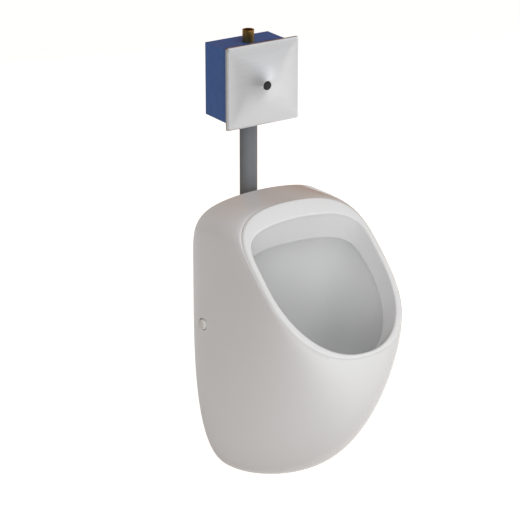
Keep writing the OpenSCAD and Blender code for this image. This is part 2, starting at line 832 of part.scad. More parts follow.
module flow_regulator() {
    front = boss_front_y - 4;
    color("silver") difference() {
        union() {
            y_rod(4, front, pipe_y - way_r - 2, 0, regulator_z);
            translate([0, pipe_y - way_r - 2, regulator_z]) rotate([-90, 0, 0])
                cylinder(r1 = 4, r2 = 2, h = 3);
            y_rod(5.5, front, boss_front_y - gap, 0, regulator_z);
        }
        block([-0.8, front - 1, regulator_z - 6], [0.8, front + 1.8, regulator_z + 6]);
    }
}

disc_t = 3;
disc_x = seat_x + 4 + gap;
plunger_x = disc_x + disc_t;
plunger_r = 4.5;
plunger_len = 20;
spring_x = plunger_x + plunger_len;
spring_len = 3 * plunger_travel;
bonnet_end = spring_x + spring_len + 2;

module valve_disc() {
    color("black") x_rod(chamber_r - 0.6, disc_x, disc_x + disc_t - gap, pipe_y, plate_z);
}

module solenoid_plunger() {
    color("silver") x_rod(plunger_r, plunger_x, spring_x - gap, pipe_y, plate_z);
}

module plunger_spring() {
    color("silver") x_ring(2.6, 3.6, spring_x, spring_x + spring_len - gap, pipe_y, plate_z);
}

module solenoid_bonnet() {
    base = chamber_end_x + gap;
    color("silver") difference() {
        union() {
            x_rod(chamber_r + 4, base, base + 3, pipe_y, plate_z);
            x_rod(6, base, bonnet_end, pipe_y, plate_z);
        }
        x_rod(plunger_r + gap, base - 1, spring_x + spring_len, pipe_y, plate_z);
    }
}

coil_x = chamber_end_x + 3 + 2 * gap;
coil_r = 15;

module solenoid_coil() {
    color("black") difference() {
        union() {
            x_rod(coil_r, coil_x, bonnet_end - 1, pipe_y, plate_z);
            block([coil_x + 2, pipe_y - coil_r - 4, plate_z - 5],
                [coil_x + 14, pipe_y - coil_r + 4, plate_z + 5]);
        }
        x_rod(6 + gap, coil_x - 1, bonnet_end + 1, pipe_y, plate_z);
    }
}

// ---------- flush plate, sensor and their frame ----------

frame_half = plate_half - 7;
frame_t = plate_gap;
hinge_y = -4.2;
hinge_z = plate_z + plate_half - 3.5;
hinge_pin_r = 1;
ear_front_y = -plate_edge_y + plate_t + 0.9;
hanger_x = plate_half - 25;
module_half = [21, 15];
module_front = -13.5;

lock_tab_y = -7.05;
lock_tab_z = plate_z - plate_half + 10.5;

module mounting_frame() {
    bar_h = 19;
    color("dimgray") difference() {
        union() {
            block([-frame_half, -frame_t, plate_z - frame_half],
                [frame_half, 0, plate_z + frame_half]);
            for (s = [-1, 1]) {
                lug = [s * hanger_x - 6 * s - 4, s * hanger_x - 6 * s + 4];
                pin = [s * hanger_x - 4, s * hanger_x + 4];
                block([lug[0], hinge_y - 1.5, hinge_z - 12], [lug[1], 0, hinge_z]);
                x_rod(1.5, lug[0], lug[1], hinge_y, hinge_z);
                x_rod(hinge_pin_r, pin[0], pin[1], hinge_y, hinge_z);
            }
        }
        for (s = [-1, 1])
            block([-frame_half + 12, -frame_t - 1, plate_z + (s > 0 ? bar_h : 18 - frame_half)],
                [frame_half - 12, 1, plate_z + (s > 0 ? frame_half - 18 : -bar_h)]);
        for (x = [-1, 1], z = [-1, 1])
            y_rod(2.1, -3, 1, x * boss_at, plate_z + z * boss_at);
        y_rod(5, -3, 1, 0, plate_z);
        block([-frame_half + 8, -0.6, plate_z + frame_half - 2],
            [frame_half - 8, 1, plate_z + frame_half + 2]);
    }
}

// The bent tab that the lock screw's tip rises behind
module lock_tab() {
    foot_back = -frame_t - gap;
    color("dimgray") union() {
        block([-8, lock_tab_y, lock_tab_z], [8, lock_tab_y + 1.2, lock_tab_z + 8]);
        block([-8, lock_tab_y, lock_tab_z + 6], [8, foot_back, lock_tab_z + 8]);
        block([-8, foot_back - 1.2, lock_tab_z + 6], [8, foot_back, lock_tab_z + 14]);
    }
}

module frame_screws() {
    color("silver") for (x = [-1, 1], z = [-1, 1])
        translate([x * boss_at, 0, plate_z + z * boss_at]) {
            y_rod(1.55, -frame_t, 20);
            y_rod(3.2, -frame_t - gap - 1.6, -frame_t - gap);
            y_rod(1.55, -frame_t - 1, -frame_t + 1);
        }
}

module sensor_module() {
    color("black") difference() {
        block([-module_half[0], module_front, plate_z - module_half[1]],
            [module_half[0], -frame_t - gap, plate_z + module_half[1]]);
        y_rod(4, -frame_t - 3, 0, 0, plate_z);
    }
}

window_front = -(plate_edge_y + plate_rise) + 0.8;

module sensor_window() {
    color("black") union() {
        y_rod(window_r, window_front + 0.8, module_front - gap, 0, plate_z);
        translate([0, window_front + 0.8, plate_z]) rotate([90, 0, 0])
            cylinder(r1 = window_r, r2 = window_r - 0.8, h = 0.8);
    }
}

module sensor_bezel() {
    back = window_front + 1.2;
    color("silver") difference() {
        union() {
            y_rod(bezel_r - gap, window_front - 0.2, back, 0, plate_z);
            translate([0, window_front - 0.2, plate_z]) rotate([90, 0, 0])
                cylinder(r1 = bezel_r - gap, r2 = bezel_r - 0.8, h = 0.8);
        }
        y_rod(window_r + 0.5, window_front - 5, back + 1, 0, plate_z);
    }
}

// The plate's rings run from its wall edge over the bevel and the pressed face to the hole
// for the bright ring, and back along the inside
plate_face_steps = 9;
function square_ring(half, y, p) = [for (a = ring_angles)
    let (q = outline(a, half, 0, half, p, 0, half, p)) [q[0], y, plate_z + q[1]]];
function press_y(f) = -plate_edge_y - plate_rise * pow(1 - f, 1.7);
// Exponent 26 gives a nearly square ring, and 2 a round one
function press_p(f) = 2 + 24 * pow(f, 1.5);
function press_rings(back) = [for (k = [0 : plate_face_steps])
    let (
        f = 1 - k / plate_face_steps,
        half = bezel_r + (plate_half - plate_bevel - bezel_r) * f
    )
    square_ring(half, press_y(f) + (back ? plate_t : 0), press_p(f))];
plate_rings = concat(
    [square_ring(plate_half, -plate_gap, 40), square_ring(plate_half, -plate_edge_y + 1.6, 40)],
    press_rings(false),
    [for (k = [0 : plate_face_steps - 1]) press_rings(true)[plate_face_steps - k]],
    [
        square_ring(plate_half - plate_t - 0.4, -plate_edge_y + plate_t + 0.2, 40),
        square_ring(plate_half - plate_t, -plate_edge_y + plate_t + 0.6, 40),
        square_ring(plate_half - plate_t, -plate_gap, 40)
    ]
);

module flush_plate() {
    color("silver") difference() {
        loop_solid(plate_rings);
        z_rod(lock_r + 0.5, plate_z - plate_half - 1, plate_z - plate_half + 3, 0, lock_y);
    }
}

module plate_hanger() {
    flange = plate_z + plate_half - plate_t - gap;
    color("silver") difference() {
        union() {
            block([-hanger_x - 6, ear_front_y, flange - 0.5], [hanger_x + 6, -2.5, flange]);
            for (s = [-1, 1])
                block([min(s * hanger_x, s * (hanger_x + 3)), ear_front_y, hinge_z - 1.9],
                    [max(s * hanger_x, s * (hanger_x + 3)), -2.5, flange]);
        }
        x_rod(hinge_pin_r + 0.06, -hanger_x - 9, hanger_x + 9, hinge_y, hinge_z);
    }
}

lock_y = hinge_y;
lock_r = 1.4;

module lock_block() {
    flange = plate_z - plate_half + plate_t + gap;
    color("silver") difference() {
        block([-7, ear_front_y, flange], [7, -2.5, flange + 5]);
        z_rod(lock_r + gap, flange - 1, flange + 6, 0, lock_y);
    }
}

module lock_screw() {
    low = plate_z - plate_half + 0.4;
    color("silver") difference() {
        z_rod(lock_r, low, low + 9, 0, lock_y);
        translate([0, lock_y, low - 1]) cylinder(r = 0.8, h = 3, $fn = 6);
    }
}

// ---------- power ----------

case_low = [-58, 0.05, plate_z - 16];
case_high = [-18, 21, plate_z + 16];
cell_r = 7;

module battery_case() {
    color("black") difference() {
        block(case_low, case_high);
        block(case_low + [2, 2, 2], [case_high[0] - 2, case_high[1] + 1, case_high[2] - 2]);
    }
}

module battery_lid() {
    color("dimgray") block([case_low[0], case_high[1] + gap, case_low[2]],
        [case_high[0], case_high[1] + 2, case_high[2]]);
}

module batteries() {
    color("silver") for (s = [-1, 1])
        x_rod(cell_r - 0.1, case_low[0] + 2.2, case_high[0] - 2.2, 12, plate_z + s * cell_r);
}

// The lead from the sensor module back to the coil: a round tube swept along chosen points
lead_r = 1.6;
lead_points = [
    [0, -5, 0], [0, 0, 0], [0, 4, 0], [2, 9, -1], [6, 12, -2], [12, 13, -2],
    [19, 12, -1], [26, 12, 0], [32, 13.5, 0], [35.5, 15.5, 0], [36.5, 18, 0], [36.5, 20.95, 0]
];

function unit(v) = v / norm(v);
function lead_dir(i) = unit(lead_points[min(i + 1, len(lead_points) - 1)] - lead_points[max(i - 1, 0)]);

module sensor_lead() {
    sides = 10;
    rings = [for (i = [0 : len(lead_points) - 1])
        let (
            d = lead_dir(i),
            u = unit(cross(d, [0, 0, 1])),
            v = cross(u, d)
        )
        [for (k = [0 : sides - 1])
            let (a = 360 * k / sides)
            lead_points[i] + [0, 0, plate_z] + lead_r * (cos(a) * u + sin(a) * v)]];
    color("black") ring_solid(rings);
}

// ---------- assembly ----------

bowl();
bracket_left();
bracket_right();
side_screw_left();
side_screw_right();
side_sleeve_left();
side_sleeve_right();
cap_left();
cap_right();
wall_screws();
wall_washers();
waste_strainer();
waste_body();
waste_seal_upper();
waste_seal_lower();
waste_nut();
trap_body();
trap_seal();
outlet_pipe();
outlet_seal();
inlet_spud();
inlet_seal();
inlet_nut();
spreader();
flush_pipe();
flush_pipe_nut();
spud_nut();
wall_box();
box_gland();
supply_nipple();
valve_body();
stop_ball();
ball_seats();
stop_spindle();
spindle_gland();
flow_regulator();
valve_disc();
solenoid_bonnet();
solenoid_plunger();
plunger_spring();
solenoid_coil();
mounting_frame();
lock_tab();
frame_screws();
sensor_module();
sensor_window();
sensor_lead();
battery_case();
battery_lid();
batteries();
flush_plate();
sensor_bezel();
plate_hanger();
lock_block();
lock_screw();
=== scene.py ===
"""Wall-hung urinal with a concealed, sensor-operated flush set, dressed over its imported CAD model.

Lengths inside the shape functions are in millimetres and meshes are in metres. The bowl looks along
-Y, X runs left to right and Z is up. The origin is the centre of the four wall screws, on the wall.
"""

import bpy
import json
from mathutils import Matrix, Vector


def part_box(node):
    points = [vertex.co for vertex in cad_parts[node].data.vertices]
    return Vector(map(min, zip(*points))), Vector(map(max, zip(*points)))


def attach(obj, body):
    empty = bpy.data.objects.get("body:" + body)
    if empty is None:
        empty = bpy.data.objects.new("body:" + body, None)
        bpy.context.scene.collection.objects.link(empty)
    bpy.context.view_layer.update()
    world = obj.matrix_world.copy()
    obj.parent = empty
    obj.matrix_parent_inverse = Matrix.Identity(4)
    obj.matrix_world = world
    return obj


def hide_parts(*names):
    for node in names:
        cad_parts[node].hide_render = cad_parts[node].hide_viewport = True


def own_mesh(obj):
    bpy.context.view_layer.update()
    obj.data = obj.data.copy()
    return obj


bl_info = {
    "name": "Wall-hung urinal",
    "version": (1, 0, 0),
    "blender": (4, 5, 0),
    "location": "View3D > Sidebar > Urinal",
    "description": "Builds the bowl, caps, flush plate, fittings and stage of a wall-hung urinal",
    "category": "Object",
}

import json
import math
from collections import namedtuple

import bmesh
import bpy
import numpy as np
from bpy.props import FloatProperty, FloatVectorProperty, IntProperty, PointerProperty
from mathutils import Vector

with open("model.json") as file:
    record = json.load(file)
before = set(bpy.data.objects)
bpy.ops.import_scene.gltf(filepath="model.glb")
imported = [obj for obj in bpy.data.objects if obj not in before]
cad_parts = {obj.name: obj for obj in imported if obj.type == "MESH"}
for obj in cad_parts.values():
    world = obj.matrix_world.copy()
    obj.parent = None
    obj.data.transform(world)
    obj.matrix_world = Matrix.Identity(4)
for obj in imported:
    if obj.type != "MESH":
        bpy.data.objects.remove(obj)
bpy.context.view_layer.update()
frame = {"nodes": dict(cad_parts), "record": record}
MM = 0.001


def linear(code):
    """An sRGB hex colour as the linear RGB that Blender reads."""
    srgb = np.array([int(code[k : k + 2], 16) / 255 for k in (1, 3, 5)])
    low, high = srgb / 12.92, ((srgb + 0.055) / 1.055) ** 2.4
    return tuple(np.where(srgb <= 0.04045, low, high).tolist())


def corners(node):
    """Lowest and highest corner of a CAD node, in millimetres."""
    return [np.array(corner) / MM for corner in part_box(node)]


# ---------- meshes ----------


def placed(name, data):
    """A new object over its data, in the scene."""
    made = bpy.data.objects.new(name, data)
    bpy.context.scene.collection.objects.link(made)
    return made


def closed_object(name, points, faces):
    """Makes an object of points in millimetres and turns its faces outwards."""
    mesh = bpy.data.meshes.new(name)
    mesh.from_pydata((np.asarray(points) * MM).tolist(), [], faces)
    body = bmesh.new()
    body.from_mesh(mesh)
    bmesh.ops.recalc_face_normals(body, faces=body.faces)
    body.to_mesh(mesh)
    body.free()
    return placed(name, mesh)


def strip_faces(ring_count, point_count, loop=False):
    """Quads between neighbouring rings of equal length. A loop also joins the last to the first."""
    ring = np.arange(ring_count if loop else ring_count - 1)[:, None] * point_count
    after = (ring + point_count) % (ring_count * point_count)
    point = np.arange(point_count)[None, :]
    beside = (point + 1) % point_count
    quads = np.stack([ring + point, ring + beside, after + beside, after + point], axis=-1)
    return quads.reshape(-1, 4).tolist()


def ring_body(name, rings):
    """A closed body over rings of shape (ring, point, 3), with a flat face at both ends."""
    count, points = rings.shape[:2]
    ends = [list(range(points))[::-1], list(range((count - 1) * points, count * points))]
    return closed_object(name, rings.reshape(-1, 3), strip_faces(count, points) + ends)


def ring_loop(name, rings):
    """A closed body whose last ring joins its first, such as a bent sheet with a hole in it."""
    count, points = rings.shape[:2]
    return closed_object(name, rings.reshape(-1, 3), strip_faces(count, points, loop=True))


def turned_rings(profile, axis, centre, points=96):
    """Rings of a turned shape. Each profile row is a place along the axis and the radius there."""
    place, radius = np.asarray(profile, float).T
    angle = np.linspace(0, 2 * np.pi, points, endpoint=False)
    rings = np.empty((len(place), points, 3))
    across = [k for k in range(3) if k != axis]
    rings[:, :, axis] = place[:, None]
    rings[:, :, across[0]] = radius[:, None] * np.cos(angle)
    rings[:, :, across[1]] = radius[:, None] * np.sin(angle)
    return rings + np.asarray(centre, float)


def quarter_rows(place, radius, along, across, count):
    """Profile rows of a quarter circle from (place + along, radius) to (place, radius + across)."""
    angles = np.linspace(0, np.pi / 2, count)
    return [
        (place + along * (1 - math.sin(u)), radius + across * (1 - math.cos(u))) for u in angles
    ]


def applied(made):
    """Bakes an object's modifiers into its mesh."""
    graph = bpy.context.evaluated_depsgraph_get()
    final = bpy.data.meshes.new_from_object(made.evaluated_get(graph), depsgraph=graph)
    made.modifiers.clear()
    old, made.data = made.data, final
    bpy.data.meshes.remove(old)
    return made


def cut(made, cutters, skin=0):
    """Takes the cutters out of an object. The cut faces get the material of the slot skin."""
    for cutter in cutters:
        cutter.data.polygons.foreach_set(
            "material_index", np.full(len(cutter.data.polygons), skin, np.int32)
        )
        saw = made.modifiers.new("cut", "BOOLEAN")
        saw.operation, saw.solver, saw.object = "DIFFERENCE", "EXACT", cutter
        applied(made)
        bpy.data.objects.remove(cutter)


def smooth(made, sharp_degrees=32):
    """Smooth shading that keeps every edge sharper than the angle."""
    made.data.shade_smooth()
    made.data.set_sharp_from_angle(angle=math.radians(sharp_degrees))
    return made


def finish_piece(made, name, body, nodes, materials):
    """Names a piece, gives it its materials and ties it to the frame."""
    made.name = made.data.name = name
    for k, material in enumerate(materials):
        if k < len(made.data.materials):
            made.data.materials[k] = material
        else:
            made.data.materials.append(material)
    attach(made, body)
    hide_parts(*nodes)


# ---------- materials ----------


def add_node(tree, kind, values=(), links=(), **settings):
    """Adds one shader node. Values fill its inputs, and links join other nodes' outputs to them."""
    node = tree.nodes.new("ShaderNode" + kind)
    for name, value in settings.items():
        setattr(node, name, value)
    for socket, value in dict(values).items():
        node.inputs[socket].default_value = value
    for socket, source in dict(links).items():
        tree.links.new(source, node.inputs[socket])
    return node


def new_surface(name, values):
    """An empty material with one surface shader, and the object's own coordinates."""
    material = bpy.data.materials.new(name)
    material.use_nodes = True
    tree = material.node_tree
    tree.nodes.clear()
    shader = add_node(tree, "BsdfPrincipled", values)
    add_node(tree, "OutputMaterial", links={"Surface": shader.outputs["BSDF"]})
    place = add_node(tree, "TexCoord").outputs["Object"]
    return material, tree, shader, place


def grained(name, colour, marks, grain, rough, relief, share=0.5, stretch=(1, 1, 1), **sockets):
    """A finish whose colour, roughness and height wander with one noise.

    Grain is the size of a mark in millimetres, stretched along X, Y and Z. Rough is the roughness
    at the noise's two ends, and relief is the height of the marks in millimetres. Share is how far
    the colour goes over to that of the marks, which is a hex code.
    """
    material, tree, shader, place = new_surface(
        name, {key.replace("_", " "): value for key, value in sockets.items()}
    )
    scale = [1 / (grain * MM * s) for s in stretch]
    spot = add_node(tree, "Mapping", {"Scale": scale}, {"Vector": place})
    noise = add_node(
        tree, "TexNoise", {"Scale": 1.0, "Detail": 4.0, "Roughness": 0.55},
        {"Vector": spot.outputs["Vector"]},
    )
    wide = add_node(
        tree, "MapRange",
        {"From Min": 0.35, "From Max": 0.65, "To Min": 0.0, "To Max": share},
        {"Value": noise.outputs["Fac"]},
    )
    tint = add_node(
        tree, "Mix", {6: (*colour, 1.0), 7: (*linear(marks), 1.0)},
        {0: wide.outputs["Result"]}, data_type="RGBA",
    )
    dull = add_node(
        tree, "MapRange",
        {"From Min": 0.3, "From Max": 0.7, "To Min": rough[0], "To Max": rough[1]},
        {"Value": noise.outputs["Fac"]},
    )
    bump = add_node(
        tree, "Bump", {"Strength": 1.0, "Distance": relief * MM}, {"Height": noise.outputs["Fac"]}
    )
    tree.links.new(tint.outputs[2], shader.inputs["Base Color"])
    tree.links.new(dull.outputs["Result"], shader.inputs["Roughness"])
    tree.links.new(bump.outputs["Normal"], shader.inputs["Normal"])
    return material


def glazed_china(colours):
    """Vitreous china under a fired white glaze.

    The eye sees a clean white with hard reflections that swim a little, because the glaze pooled
    in waves some 40 mm long, and a faint orange peel 3 mm across. The tint drifts over 150 mm.
    """
    drift_size, wave_size, peel_size = 150 * MM, 40 * MM, 3 * MM
    wave_height, peel_height = 0.12 * MM, 0.006 * MM
    material, tree, shader, place = new_surface(
        "vitreous_china_white_glaze",
        {"Roughness": 0.1, "IOR": 1.52, "Coat Weight": 0.35, "Coat Roughness": 0.04},
    )
    glaze = (*colours.glaze, 1.0)
    creamier = (glaze[0] * 0.98, glaze[1] * 0.975, glaze[2] * 0.97, 1.0)
    drift, wave, peel = [
        add_node(tree, "TexNoise", {"Scale": 1 / size, "Detail": detail}, {"Vector": place})
        for size, detail in ((drift_size, 2.0), (wave_size, 1.0), (peel_size, 1.0))
    ]
    tint = add_node(
        tree, "Mix", {6: glaze, 7: creamier}, {0: drift.outputs["Fac"]}, data_type="RGBA"
    )
    tree.links.new(tint.outputs[2], shader.inputs["Base Color"])
    swim = add_node(
        tree, "Bump", {"Strength": 1.0, "Distance": wave_height}, {"Height": wave.outputs["Fac"]}
    )
    skin = add_node(
        tree, "Bump", {"Strength": 1.0, "Distance": peel_height},
        {"Height": peel.outputs["Fac"], "Normal": swim.outputs["Normal"]},
    )
    tree.links.new(skin.outputs["Normal"], shader.inputs["Normal"])
    return material


def bisque_china(colours):
    """Fired china without glaze: warm, dead matt, with a 2 mm mottle and a sandy touch."""
    return grained(
        "vitreous_china_bare_bisque", colours.bisque, "#CFC6B4", 2.0, (0.75, 0.92), 0.06, IOR=1.5
    )


def moulded_cap(colours):
    """White polypropylene from a polished mould: bright, slightly waxy, with faint 8 mm sinks."""
    return grained(
        "polypropylene_white_polished", colours.cap, "#E2E1DC", 8.0, (0.22, 0.3), 0.02,
        share=0.35, IOR=1.49, Subsurface_Weight=0.08, Subsurface_Radius=(0.004, 0.004, 0.003),
        Subsurface_Scale=0.3,
    )


def satin_stainless(colours):
    """Stainless sheet, finely ground and glass-bead satined after pressing.

    The eye sees a pale grey metal with wide soft reflections. The grinding marks are about 0.1 mm
    wide, too fine to show, so they are drawn 1.5 mm wide and 60 mm long, and very faint.
    """
    return grained(
        "stainless_steel_satin", colours.plate, "#D7DADD", 1.5, (0.3, 0.35), 0.001,
        share=0.35, stretch=(40, 40, 1), Metallic=1.0,
    )


# Every slot's finish for the pieces that keep their CAD shape. A row holds what grained takes, with
# the colour as a hex code too, and fixed values for the shader's sockets.
FINISHES = {
    # Electro-galvanised steel: cool blue-grey, cloudy bright, spangled every few millimetres.
    "zinc_steel": dict(
        name="galvanised_steel_bright", colour="#B9BEC2", marks="#9AA0A6", grain=5.0,
        rough=(0.28, 0.46), relief=0.01, share=0.6, Metallic=1.0,
    ),
    # Stainless turned on a lathe: neutral, with rings 0.2 mm apart drawn as a faint 0.8 mm grain.
    "stainless": dict(
        name="stainless_steel_turned", colour="#C9CACB", marks="#B2B4B6", grain=0.8,
        rough=(0.24, 0.34), relief=0.002, share=0.3, Metallic=1.0,
    ),
    # Chromium plate over polished brass: dark-bright mirror, with a barely wavy 12 mm polish.
    "chrome": dict(
        name="chromium_plate_polished", colour="#E8EAEC", marks="#DCDFE2", grain=12.0,
        rough=(0.06, 0.12), relief=0.01, Metallic=1.0,
    ),
    # Brass as hot-stamped and tumbled: warm yellow, tarnished browner in 6 mm clouds.
    "brass": dict(
        name="brass_stamped_tumbled", colour="#C9A45C", marks="#A07A3C", grain=6.0,
        rough=(0.28, 0.45), relief=0.02, share=0.6, Metallic=1.0,
    ),
    # Polypropylene pipe and sleeves: white, slightly waxy, flow marks 9 mm wide and 27 mm long.
    "white_plastic": dict(
        name="polypropylene_white_extruded", colour="#E6E6E2", marks="#D8D7D1", grain=9.0,
        rough=(0.34, 0.46), relief=0.02, stretch=(1, 1, 3), IOR=1.49,
    ),
    # ABS from a spark-eroded tool: near-black with a 0.6 mm leathery stipple.
    "black_plastic": dict(
        name="abs_black_eroded", colour="#1E1F21", marks="#2B2C2E", grain=0.6,
        rough=(0.42, 0.58), relief=0.03, share=0.6, IOR=1.53,
    ),
    # Glass-filled nylon: mid grey. Its fibres are too fine to show, so pale wisps are 3 mm long.
    "grey_plastic": dict(
        name="nylon_grey_glass_filled", colour="#6E7276", marks="#82868A", grain=1.5,
        rough=(0.4, 0.56), relief=0.02, stretch=(2, 1, 1), IOR=1.53,
    ),
    # Polystyrene box: strong blue, chalky where it was handled, 14 mm clouds.
    "blue_plastic": dict(
        name="polystyrene_blue_moulded", colour="#2F5FA8", marks="#4673B6", grain=14.0,
        rough=(0.36, 0.52), relief=0.02, share=0.6, IOR=1.59,
    ),
    # EPDM rubber: soft black-grey with a dusty bloom in 3 mm patches.
    "seal_rubber": dict(
        name="epdm_rubber_black", colour="#242526", marks="#3A3B3C", grain=3.0,
        rough=(0.62, 0.8), relief=0.02, share=0.6, IOR=1.52,
    ),
    # PTFE: milky white, waxy, lightly turned.
    "seat_polymer": dict(
        name="ptfe_white_turned", colour="#EDEDEA", marks="#DFDFDA", grain=1.0,
        rough=(0.3, 0.42), relief=0.01, IOR=1.38,
    ),
    # PVC shrink sleeve on the cells: flat mid green-grey film, tight and glossy.
    "cell_wrap": dict(
        name="pvc_shrink_film", colour="#4F6B5A", marks="#5D7A68", grain=7.0,
        rough=(0.18, 0.3), relief=0.01, IOR=1.53,
    ),
}


def finish_for(slot):
    """The finish of a slot, made once from its row in FINISHES."""
    row = dict(FINISHES[slot])
    name, colour = row.pop("name"), linear(row.pop("colour"))
    return bpy.data.materials.get(name) or grained(name, colour, **row)


def dress(*slots):
    """Gives the CAD nodes of these slots their finish, where no new piece stands for them."""
    made = {slot: finish_for(slot) for slot in slots}
    for row in frame["record"]["subparts"]:
        node, slot = frame["nodes"][row["node"]], row["material_slot"]
        if slot not in made or node.hide_render:
            continue
        if not node.data.materials:
            node.data.materials.append(made[slot])
        for k in range(len(node.data.materials)):
            node.data.materials[k] = made[slot]


# ---------- the china ----------

# An outline is a superellipse in two halves, which meet at its widest line: half its width, the
# height of the widest line, the height and the exponent above it, how much higher the middle of
# the top is, and the depth and the exponent below it. Lengths are in millimetres.
Outline = namedtuple("Outline", "half_width middle top top_power crown drop drop_power")

BOWL_LOW, BOWL_HIGH = corners("bowl")
CAP_LOW, CAP_HIGH = corners("cap_right")
CAP_PLACE = (0, (CAP_LOW[1] + CAP_HIGH[1]) / 2, 0)
# Cutters that come in from the sides start this far out.
BEYOND_SIDE = 155

# The outline on the wall, and that of the hollow behind the basin, inside the china round it.
BACK_MIDDLE = 89.6
BACK_DROP = BACK_MIDDLE - BOWL_LOW[2]
SIDE_CHINA, FOOT_CHINA = 15.8, 20
BACK = Outline(
    half_width=BOWL_HIGH[0], middle=BACK_MIDDLE, top=110.9, top_power=5.8, crown=20,
    drop=BACK_DROP, drop_power=3.23,
)
HOLLOW = BACK._replace(
    half_width=BOWL_HIGH[0] - SIDE_CHINA, top=98.9, crown=16, drop=BACK_DROP - FOOT_CHINA
)

# The rim's outer edge and the opening. Their heights run along the mouth's tilted plane.
RIM = Outline(
    half_width=131.6, middle=-72, top=123.2, top_power=4.31, crown=22.6, drop=176.2, drop_power=2.37
)
OPENING = Outline(
    half_width=119.9, middle=-75.4, top=94, top_power=5.67, crown=18.5, drop=164.9, drop_power=2.2
)

# Places in the bowl's middle plane: the basin's back face and floor, the point where the mouth's
# plane starts, the drain and the water inlet.
BASIN_BACK, BASIN_FLOOR = -55, -175
MOUTH_Y, MOUTH_Z = BASIN_BACK - 89, 176.6
DRAIN_Y, INLET_Z = -125, 165
DRAIN_HOLE_R, INLET_HOLE_R, SLEEVE_HOLE_R = 24, 15, 6.55

# Depth of the inner wall behind the opening, and how far its top leans down over that depth.
WALL_DEPTH, WALL_DEPTH_AT_SIDES = 55, 38
HOOD_LEAN = 18


def outline(angle, shape, grow=0.0, lean=0.0):
    """X and height of an outline at each angle, grown by a distance, with its top sunk by lean.

    In each half, x over the half width and height over the half's height, each raised to the
    exponent, add up to one. The crown lifts the top by a parabola that is full at the middle and
    nothing at the sides.
    """
    c, s = np.cos(angle), np.sin(angle)
    power = np.where(s >= 0, shape.top_power, shape.drop_power)
    height = np.where(s >= 0, shape.top + grow - lean, shape.drop + grow)
    reach = (np.abs(c) ** power + np.abs(s) ** power) ** (-1 / power)
    lift = np.where(s > 0, shape.crown * (1 - (reach * c) ** 2), 0)
    return (shape.half_width + grow) * reach * c, shape.middle + height * reach * s + lift


def on_wall(angle, inset=0.0):
    """Points of the bowl's outline on the wall plane, drawn in by inset."""
    x, z = outline(angle, BACK, -inset)
    return np.stack(np.broadcast_arrays(x, 0 * x, z), axis=-1)


def in_mouth(x, along, depth, tilt):
    """Points given by their place in the tilted mouth plane and their depth behind it."""
    y = MOUTH_Y + along * math.cos(tilt) + depth * math.sin(tilt)
    z = MOUTH_Z + along * math.sin(tilt) - depth * math.cos(tilt)
    return np.stack(np.broadcast_arrays(x, y, z), axis=-1)


def rim_edge(angle, inset, depth, tilt):
    """Points of the rim's outer edge, drawn in by inset."""
    return in_mouth(*outline(angle, RIM, -inset), depth, tilt)


def opening_edge(angle, outset, depth, lean, tilt):
    """Points of the opening's edge. The lean lowers its top, for the hood's inner face."""
    return in_mouth(*outline(angle, OPENING, outset, lean), depth, tilt)


def outer_skin(angle, t, tilt, rim_round, edge_round):
    """The outside from the wall to the rim.

    At each angle it is a cubic curve in t, with a handle at both ends. The handles are longest at
    the bottom, which makes the belly. Up, down and side are the shares of the top, the bottom and
    the sides in a handle. Within edge_round of the wall each point moves inwards by a quarter
    circle, the way the wall's outline shrinks, which rounds the edge that lies on the wall.
    """
    # Handles at the wall: inwards at the sides, outwards, and outwards at the bottom. Handles at the
    # rim: sideways, up at the sides, back at the top, and forwards and down at the bottom.
    wall_in, wall_out, belly_out = 9.9, 5, 136
    rim_wide, rim_up = 6.4, 19.9
    rim_back, belly_fore, belly_down = 14, 10.4, 0.4475 * BACK_DROP
    c, s = np.cos(angle), np.sin(angle)
    up, down = np.maximum(0, s) ** 2, np.maximum(0, -s) ** 2
    side = 1 - up - down
    none = np.zeros_like(c)
    start = on_wall(angle)
    end = rim_edge(angle, 0, rim_round, tilt)
    start_pull = np.stack(
        [-wall_in * c * side, -(wall_out * (side + up) + belly_out * down), none], axis=-1
    )
    end_pull = np.stack(
        [rim_wide * c, rim_back * up - belly_fore * down, rim_up * side - belly_down * down],
        axis=-1,
    )
    t = t[:, None, None]
    skin = (
        (1 - t) ** 3 * start
        + 3 * (1 - t) ** 2 * t * (start + start_pull)
        + 3 * (1 - t) * t**2 * (end + end_pull)
        + t**3 * end
    )
    depth = np.clip(-skin[:, :, 1], 0, edge_round)
    inset = edge_round - np.sqrt(edge_round**2 - (edge_round - depth) ** 2)
    step = 10
    share = inset[:, :, None] / step
    return skin + share * (on_wall(angle, step) - start)


def eased(stations, places):
    """A smooth curve through evenly numbered stations that never overshoots them.

    Each component is a cubic between stations. Its slope at a station is the harmonic mean of the
    steps to both sides, or nothing where they disagree in sign.
    """
    step = np.diff(stations, axis=0)
    before, after = step[:-1], step[1:]
    both = before + after
    agree = before * after > 0
    inner = np.where(agree, 2 * before * after / np.where(both == 0, 1, both), 0)
    slope = np.concatenate([step[:1], inner, step[-1:]])
    k = np.minimum(places.astype(int), len(stations) - 2)
    f = (places - k)[:, None]
    return (
        (2 * f**3 - 3 * f**2 + 1) * stations[k]
        + (f**3 - 2 * f**2 + f) * slope[k]
        + (3 * f**2 - 2 * f**3) * stations[k + 1]
        + (f**3 - f**2) * slope[k + 1]
    )


